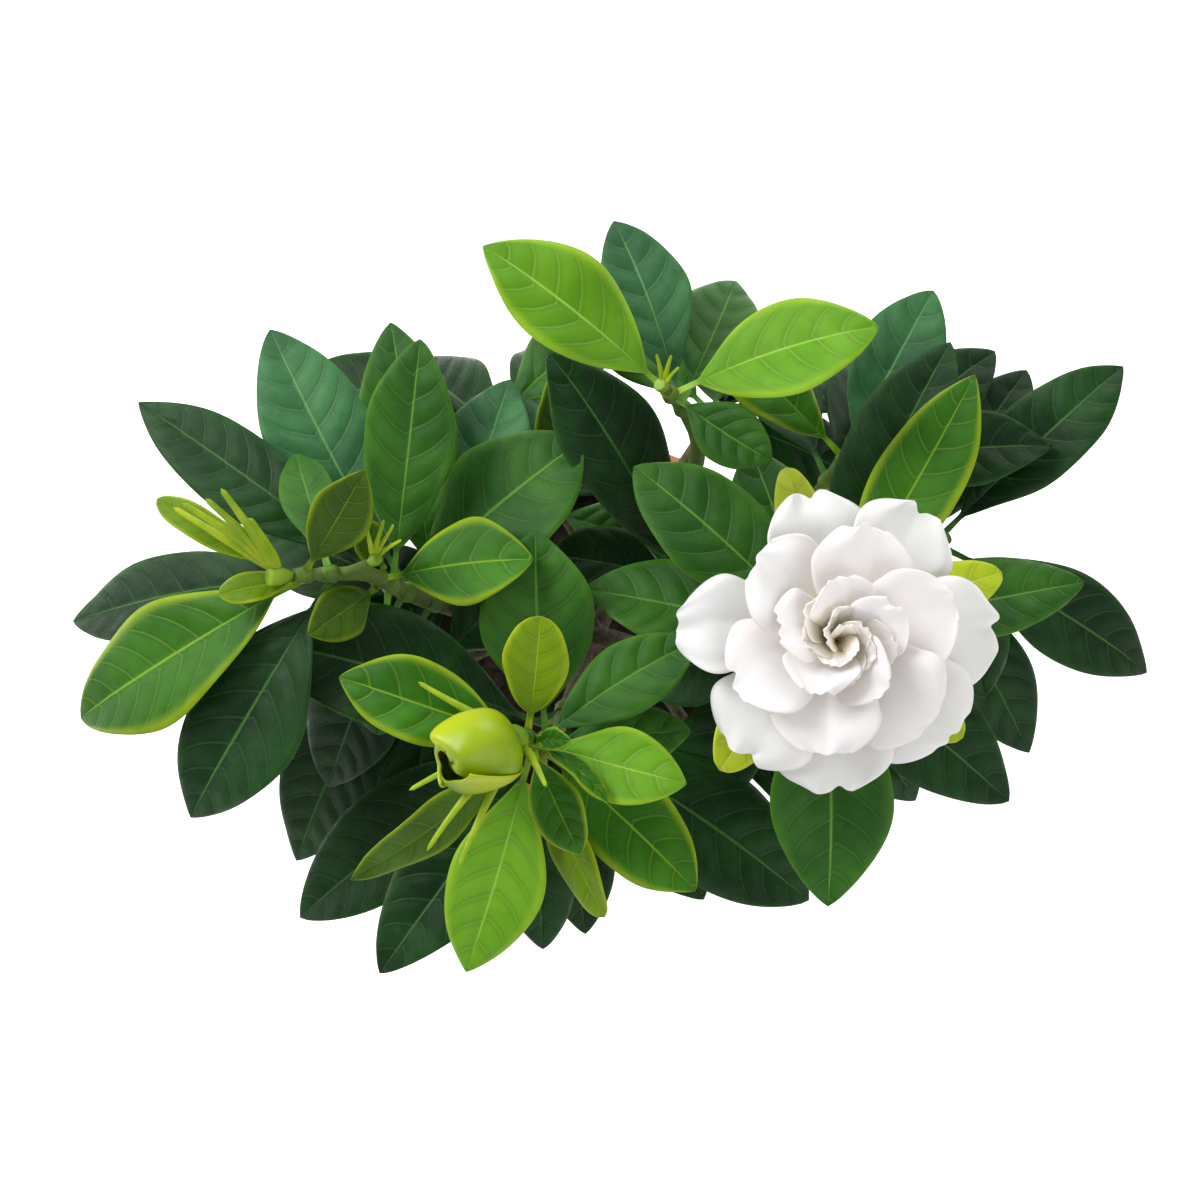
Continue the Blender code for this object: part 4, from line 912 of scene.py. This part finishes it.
def finger_points(row, pose, seed):
    """A bent strap with an oval section, widest near its base and rounded at its tip."""
    length, width, arch = row[2:5]
    dice = random.Random(seed)
    bend = dice.uniform(-0.10, 0.10) * length
    hook = dice.uniform(0.0, 0.14) * length
    rings, steps = 26, 12
    points, uvs = [], []
    for i in range(rings + 1):
        t = i / rings
        taper = (1.0 - 0.62 * t ** 0.8) * min(1.0, 0.6 + 1.8 * t)
        close = math.sqrt(max(0.0, 1.0 - max(0.0, (t - 0.94) / 0.06) ** 2)) if i < rings else 0.02
        half = max(0.05, 0.45 * width * taper * close)
        middle = Vector((t * length, bend * t * t, 4.0 * arch * length * t * (1.0 - t) + hook * t ** 4))
        cells, uv_line = [], []
        for step in range(steps + 1):
            angle = math.tau * (step % steps) / steps
            twist = angle + 0.9 * t
            offset = Vector((0.0, half * math.cos(twist), 0.55 * half * math.sin(twist)))
            cells.append(pose @ (middle + offset))
            uv_line.append((t, step / steps))
        points.append(cells)
        uvs.append(uv_line)
    return points, uvs


def build_front_bud(paths):
    """The fat bud: three broad petals wound round each other, open at the tip."""
    tip, stem_axis = along(paths["front"], 0.0)
    foot = hub_place(tip, stem_axis, FRONT_BUD_AXIS, FRONT_CUP_RADIUS)
    build_hub("front_bud_calyx", FRONT_CUP_RADIUS, FRONT_CUP_LENGTH, FRONT_BUD_AXIS, foot)
    build_lobes("front_bud_calyx", FRONT_LOBES, foot, FRONT_BUD_AXIS, FRONT_CUP_LENGTH, FRONT_CUP_RADIUS)
    pose = axis_pose(FRONT_BUD_AXIS, foot + FRONT_BUD_AXIS * (FRONT_CUP_LENGTH + GAP))
    core = [[bud_point(math.tau * (step % 64) / 64, i / 40, -0.6) for step in range(65)] for i in range(41)]
    core = [[pose @ (point * CORE_SHARE) for point in line] for line in core]
    uvs = [[(i / 40, 0.3) for step in range(65)] for i in range(41)]
    mesh = grid_mesh("front_bud_core", core, {"blade": uvs}, (BUD_SKIN,))
    add_piece("front_bud_core", mesh, "front_bud")
    for index, (turned, sweep, lift, top) in enumerate(BUD_WRAPS):
        points, uvs = [], []
        for i in range(49):
            height = 0.02 + (top - 0.02) * i / 48
            line, uv_line = [], []
            for j in range(41):
                share = j / 40
                angle = turned + sweep * (share - 0.5) * (1.0 - 0.30 * height) + 1.3 * height
                free = max(0.0, (share - 0.55) / 0.45) ** 2
                tucked = max(0.0, (0.3 - share) / 0.3)
                crumple = 0.7 * math.sin(3.0 * angle + 5.0 * height + index) + 0.5 * math.sin(9.0 * height - 2.0 * angle)
                ripple = 0.6 * math.sin(10.0 * height + 3.0 * index) * free
                offset = 0.3 + lift * free * min(1.0, 2.0 * height) - 1.2 * tucked + ripple
                offset += crumple * min(1.0, 3.0 * height)
                line.append(pose @ bud_point(angle, height, offset))
                uv_line.append((height, share))
            points.append(line)
            uvs.append(uv_line)
        label = "front_bud_petal_%d" % (index + 1)
        mesh = grid_mesh(label, points, {"blade": uvs}, (BUD_SKIN,))
        thicken(add_piece(label, mesh, "front_bud"), 0.5)


CORE_SHARE = 0.86
# Petals wound round the bud: where each starts (radians), how far round it goes, lift of its free
# edge (mm) and how high up the bud it ends.
BUD_WRAPS = ((0.6, 3.8, 3.4, 0.92), (2.7, 3.2, 3.0, 0.84), (4.6, 3.3, 2.4, 0.80))


def bud_point(angle, height, offset):
    """A place on the bud's egg, moved outwards by offset; near the tip the egg closes round a dimple."""
    turn = math.pi * min(1.0, height * 1.04)
    share = 0.5 - 0.5 * math.cos(turn)
    girth = FRONT_BUD_RADIUS * math.sin(turn) ** 0.9 * (1.0 - 0.30 * share ** 2)
    radius = max(0.05, girth + offset * min(1.0, 6.0 * math.sin(turn)))
    dimple = 3.0 * max(0.0, (share - 0.9) / 0.1) ** 2
    return Vector((radius * math.cos(angle), radius * math.sin(angle), FRONT_BUD_LENGTH * share - dimple))


def build_lobed_tip(name, stem, lobes, radius, length, paths):
    tip, axis = along(paths[stem], 0.0)
    build_hub(name, radius, length, axis, tip + axis * GAP)
    build_lobes(name, lobes, tip + axis * GAP, axis, length, radius)


# ---------------------------------------------------------------- stems, pot and soil
def tube_rings(path, foot, tip, sides, start):
    """Corner rings of a tapered tube, roughened like bark, as vertices and faces."""
    vertices, faces = [], []
    side = Vector((1.0, 0.0, 0.0))
    for index, place in enumerate(path):
        ahead = path[min(index + 1, len(path) - 1)] - path[max(index - 1, 0)]
        axis = ahead.normalized()
        side = (side - side.dot(axis) * axis).normalized()
        across = axis.cross(side)
        share = index / (len(path) - 1)
        radius = foot + (tip - foot) * share
        for step in range(sides):
            angle = math.tau * step / sides
            outward = math.cos(angle) * side + math.sin(angle) * across
            knob = 0.07 * noise.noise((place + outward * radius) * 0.22) + 0.03 * noise.noise((place + outward) * 0.9)
            vertices.append((place + outward * radius * (1.0 + knob)) * MM)
    for index in range(len(path) - 1):
        for step in range(sides):
            first = start + index * sides + step
            second = start + index * sides + (step + 1) % sides
            faces.append((first, second, second + sides, first + sides))
    last = start + (len(path) - 1) * sides
    faces.append(tuple(start + step for step in reversed(range(sides))))
    faces.append(tuple(last + step for step in range(sides)))
    return vertices, faces


def build_stems():
    vertices, faces = [], []
    for name, points, foot, tip in STEMS:
        ring_vertices, ring_faces = tube_rings(smooth_path(points, 12), foot, tip, 20, len(vertices))
        vertices += ring_vertices
        faces += ring_faces
    mesh = bpy.data.meshes.new("stems_skin")
    mesh.from_pydata(vertices, [], faces)
    mesh.materials.append(BARK_SKIN)
    piece = add_piece("stems_skin", mesh, "stems")
    merge = piece.modifiers.new("merge", "REMESH")
    merge.mode = "VOXEL"
    merge.voxel_size = 0.6 * MM
    merge.use_smooth_shade = True
    soften = piece.modifiers.new("soften", "SMOOTH")
    soften.factor = 0.5
    soften.iterations = 3


POT_HEIGHT = 138.0
POT_RIM_RADIUS = 81.0
POT_BASE_RADIUS = 56.0
POT_WALL = 6.0
POT_FLOOR = 8.0
RIM_BAND = 26.0
RIM_STEP = 4.5
SOIL_TOP = 117.0
SOIL_CROWN = 3.0


def wall_radius(height):
    return POT_BASE_RADIUS + (POT_RIM_RADIUS - RIM_STEP - POT_BASE_RADIUS) * height / POT_HEIGHT


def arc(centre, radius, start, end, count):
    """Points of a round corner in the profile, angles in degrees."""
    turns = [math.radians(start + (end - start) * index / count) for index in range(count + 1)]
    return [(centre[0] + radius * math.cos(turn), centre[1] + radius * math.sin(turn)) for turn in turns]


def build_pot():
    band = POT_HEIGHT - RIM_BAND
    inner = wall_radius(POT_HEIGHT) - POT_WALL
    profile = [(0.01, POT_FLOOR), (wall_radius(POT_FLOOR) - POT_WALL - 3.0, POT_FLOOR)]
    profile += [(wall_radius(height) - POT_WALL, height) for height in (POT_FLOOR + 3.0, 50.0, SOIL_TOP, 132.0)]
    profile += arc((inner + 3.0, POT_HEIGHT - 3.0), 3.0, 180, 90, 5)
    profile += arc((POT_RIM_RADIUS - 2.5, POT_HEIGHT - 2.5), 2.5, 90, 0, 5)
    profile += [(POT_RIM_RADIUS - 0.5, POT_HEIGHT - 9.0), (POT_RIM_RADIUS - 1.0, POT_HEIGHT - 18.0)]
    profile += arc((POT_RIM_RADIUS - 3.6, band + 2.4), 2.2, 0, -90, 4)
    profile += [(wall_radius(band) + 0.6, band - 0.1), (wall_radius(band), band - 1.2)]
    profile += [(wall_radius(height), height) for height in (90.0, 68.0, 46.0, 24.0, 10.0)]
    profile += arc((wall_radius(0) - 2.4, 2.4), 2.4, 0, -90, 4)
    profile += [(30.0, 0.0), (0.01, 0.0)]
    mesh = turned_mesh("pot_skin", profile, 120, Matrix.Identity(4), (CLAY_SKIN,), 0.25, False)
    piece = add_piece("pot_skin", mesh, "pot")
    mesh.set_sharp_from_angle(angle=math.radians(50))
    return piece


def soil_height(x, y):
    """Crumbly surface, crowned towards the trunk."""
    distance = math.hypot(x, y)
    lumps = 1.3 * noise.noise(Vector((x, y, 0.0)) * 0.11) + 0.8 * noise.noise(Vector((x, y, 9.0)) * 0.33)
    return SOIL_TOP + SOIL_CROWN * math.exp(-(distance / 38.0) ** 2) - 1.4 + lumps


def build_soil():
    edge = wall_radius(SOIL_TOP) - POT_WALL - 0.4
    rings, steps = 44, 130
    lines = []
    for i in range(rings + 1):
        radius = 5.0 + (edge - 5.0) * i / rings
        line = []
        for step in range(steps + 1):
            angle = math.tau * (step % steps) / steps
            x, y = radius * math.cos(angle), radius * math.sin(angle)
            line.append(Vector((x, y, soil_height(x, y))))
        lines.append(line)
    foot_edge = wall_radius(POT_FLOOR) - POT_WALL - 0.4
    for radius, height in ((edge, SOIL_TOP - 6.0), (foot_edge, POT_FLOOR + GAP), (5.0, POT_FLOOR + GAP)):
        lines.append([Vector((radius * math.cos(math.tau * (step % steps) / steps),
                              radius * math.sin(math.tau * (step % steps) / steps), height))
                      for step in range(steps + 1)])
    lines.append(lines[0])
    uvs = [[(i / len(lines), j / steps) for j in range(steps + 1)] for i in range(len(lines))]
    mesh = grid_mesh("soil_skin", lines, {"blade": uvs}, (SOIL_SKIN,))
    shape = bmesh.new()
    shape.from_mesh(mesh)
    bmesh.ops.remove_doubles(shape, verts=shape.verts, dist=1e-6)
    bmesh.ops.recalc_face_normals(shape, faces=shape.faces)
    shape.to_mesh(mesh)
    shape.free()
    add_piece("soil_skin", mesh, "soil")
    build_crumbs(edge)


def build_crumbs(edge):
    """Bark chips and crumbs strewn over the soil."""
    dice = random.Random("crumbs")
    for label, count, size, skin in (("bark_chips", 170, (1.5, 4.2), CHIP_SKIN), ("soil_crumbs", 420, (0.7, 2.0), SOIL_SKIN)):
        shape = bmesh.new()
        for _ in range(count):
            angle = dice.uniform(0, math.tau)
            distance = math.sqrt(dice.uniform(0.02, 1.0)) * (edge - 3.5)
            reach = dice.uniform(*size)
            if distance < 13.0:
                distance += 13.0
            x, y = distance * math.cos(angle), distance * math.sin(angle)
            made = bmesh.ops.create_icosphere(shape, subdivisions=1, radius=1.0)
            spin = Matrix.Rotation(dice.uniform(0, math.tau), 3, "Z") @ Matrix.Rotation(dice.uniform(-0.5, 0.5), 3, "X")
            flat = Vector((reach, reach * dice.uniform(0.45, 0.8), reach * dice.uniform(0.22, 0.45)))
            place = Vector((x, y, soil_height(x, y) + flat.z * 0.35))
            for vertex in made["verts"]:
                jag = 1.0 + dice.uniform(-0.22, 0.22)
                local = Vector((vertex.co.x * flat.x, vertex.co.y * flat.y, vertex.co.z * flat.z)) * jag
                vertex.co = (place + spin @ local) * MM
        mesh = bpy.data.meshes.new(label)
        shape.to_mesh(mesh)
        shape.free()
        mesh.materials.append(skin)
        add_piece(label, mesh, "soil")


# ---------------------------------------------------------------- stage
CAMERA_RISE = math.radians(68)
CAMERA_DISTANCE = 0.620
CAMERA_TARGET = Vector((0.0, -0.035, 0.250))
PICTURE_WIDTH = 0.400


def build_stage():
    floor_mesh = bpy.data.meshes.new("floor")
    shape = bmesh.new()
    bmesh.ops.create_grid(shape, x_segments=1, y_segments=1, size=6.0)
    shape.to_mesh(floor_mesh)
    shape.free()
    floor = bpy.data.objects.new("floor", floor_mesh)
    floor.location.z = -0.0005
    bpy.context.scene.collection.objects.link(floor)
    shade = Shade("floor_paint")
    shade.finish((0.80, 0.80, 0.80), 0.9)
    path = shade.node("LightPath")
    seen = shade.math("MAXIMUM", path.outputs["Is Camera Ray"], path.outputs["Is Glossy Ray"])
    seen = shade.math("MAXIMUM", seen, path.outputs["Is Transmission Ray"])
    glow = shade.node("Emission", {"Color": (1.0, 1.0, 1.0), "Strength": FLOOR_GLOW})
    both = shade.node("AddShader", {0: shade.shader.outputs[0], 1: glow.outputs[0]})
    blend = shade.node("MixShader", {0: seen, 1: shade.shader.outputs[0], 2: both.outputs[0]})
    output = shade.tree.nodes["Material Output"]
    shade.tree.links.new(blend.outputs[0], output.inputs[0])
    floor_mesh.materials.append(shade.material)

    world = bpy.data.worlds.new("studio")
    world.use_nodes = True
    tree = world.node_tree
    background = tree.nodes["Background"]
    background.inputs[0].default_value = (1.0, 1.0, 1.0, 1.0)
    background.inputs[1].default_value = WORLD_LIGHT
    clear = tree.nodes.new("ShaderNodeBackground")
    clear.inputs[0].default_value = (1.0, 1.0, 1.0, 1.0)
    clear.inputs[1].default_value = 1.0
    path = tree.nodes.new("ShaderNodeLightPath")
    blend = tree.nodes.new("ShaderNodeMixShader")
    tree.links.new(path.outputs["Is Camera Ray"], blend.inputs[0])
    tree.links.new(background.outputs[0], blend.inputs[1])
    tree.links.new(clear.outputs[0], blend.inputs[2])
    tree.links.new(blend.outputs[0], tree.nodes["World Output"].inputs[0])
    bpy.context.scene.world = world

    for name, place, size, power in LAMPS:
        lamp = bpy.data.lights.new(name, "AREA")
        lamp.shape = "DISK"
        lamp.size = size
        lamp.energy = power
        holder = bpy.data.objects.new(name, lamp)
        holder.location = place
        aim = CAMERA_TARGET - Vector(place)
        holder.rotation_euler = aim.to_track_quat("-Z", "Y").to_euler()
        bpy.context.scene.collection.objects.link(holder)

    camera = bpy.data.cameras.new("camera")
    camera.sensor_width = 36.0
    camera.lens = 36.0 * CAMERA_DISTANCE / PICTURE_WIDTH
    camera.clip_start = 0.01
    holder = bpy.data.objects.new("camera", camera)
    back = Vector((0.0, -math.cos(CAMERA_RISE), math.sin(CAMERA_RISE)))
    holder.location = CAMERA_TARGET + back * CAMERA_DISTANCE
    holder.rotation_euler = (math.radians(90) - CAMERA_RISE, 0.0, 0.0)
    bpy.context.scene.collection.objects.link(holder)
    bpy.context.scene.camera = holder
    bpy.context.scene.view_settings.view_transform = "Standard"


FLOOR_GLOW = 0.75
WORLD_LIGHT = 0.55
LAMPS = (
    ("key", (-0.75, 0.30, 0.95), 0.60, 11.0),
    ("fill", (0.65, -0.70, 0.75), 0.80, 3.6),
    ("back", (0.30, 0.90, 0.80), 0.80, 5.5),
)

LEAF_SKINS = {tone: leaf_material(tone) for tone in TONES}
UNDER_SKINS = {tone: underside_material(tone) for tone in TONES}
PETAL_SKINS = (petal_material("petal_outer", 0.30), petal_material("petal_middle", 0.45),
               petal_material("petal_inner", 0.75), petal_material("petal_heart", 1.3))
TUBE_SKIN = green_material("tube_skin", (0.62, 0.66, 0.36), (0.80, 0.80, 0.60), 0.5)
SHOOT_SKIN = green_material("shoot_skin", (0.060, 0.120, 0.010), (0.130, 0.220, 0.020), 0.45)
LOBE_SKIN = green_material("lobe_skin", (0.20, 0.34, 0.006), (0.36, 0.46, 0.012), 0.42)
BUD_GREEN = green_material("bud_green_skin", (0.12, 0.25, 0.012), (0.22, 0.36, 0.020), 0.42)
BUD_SKIN = bud_material()
BARK_SKIN = bark_material()
CLAY_SKIN = terracotta_material()
# Soil and bark chips are dark of their own; their colours here are darkened further as painted shade from the foliage
# above.
SOIL_SKIN = soil_material("soil_grains", (0.007, 0.005, 0.003), (0.028, 0.019, 0.012))
CHIP_SKIN = soil_material("bark_chip_skin", (0.012, 0.009, 0.006), (0.036, 0.025, 0.015))
STAMEN_SKIN = heart_material()

stem_paths = {name: smooth_path(points, STEM_SAMPLES) for name, points, foot, tip in STEMS}
build_stage()
build_pot()
build_soil()
build_stems()
build_flower(stem_paths)
build_front_bud(stem_paths)
build_lobed_tip("left_bud", "left", LEFT_LOBES, 3.2, 8.0, stem_paths)
build_lobed_tip("mid_bud", "mid_bud", MID_LOBES, 2.0, 5.0, stem_paths)
build_lobed_tip("back_bud", "back", BACK_LOBES, 2.2, 5.0, stem_paths)
for whorl, (stem, below, leaves) in WHORLS.items():
    build_whorl(whorl, stem, below, leaves, stem_paths)
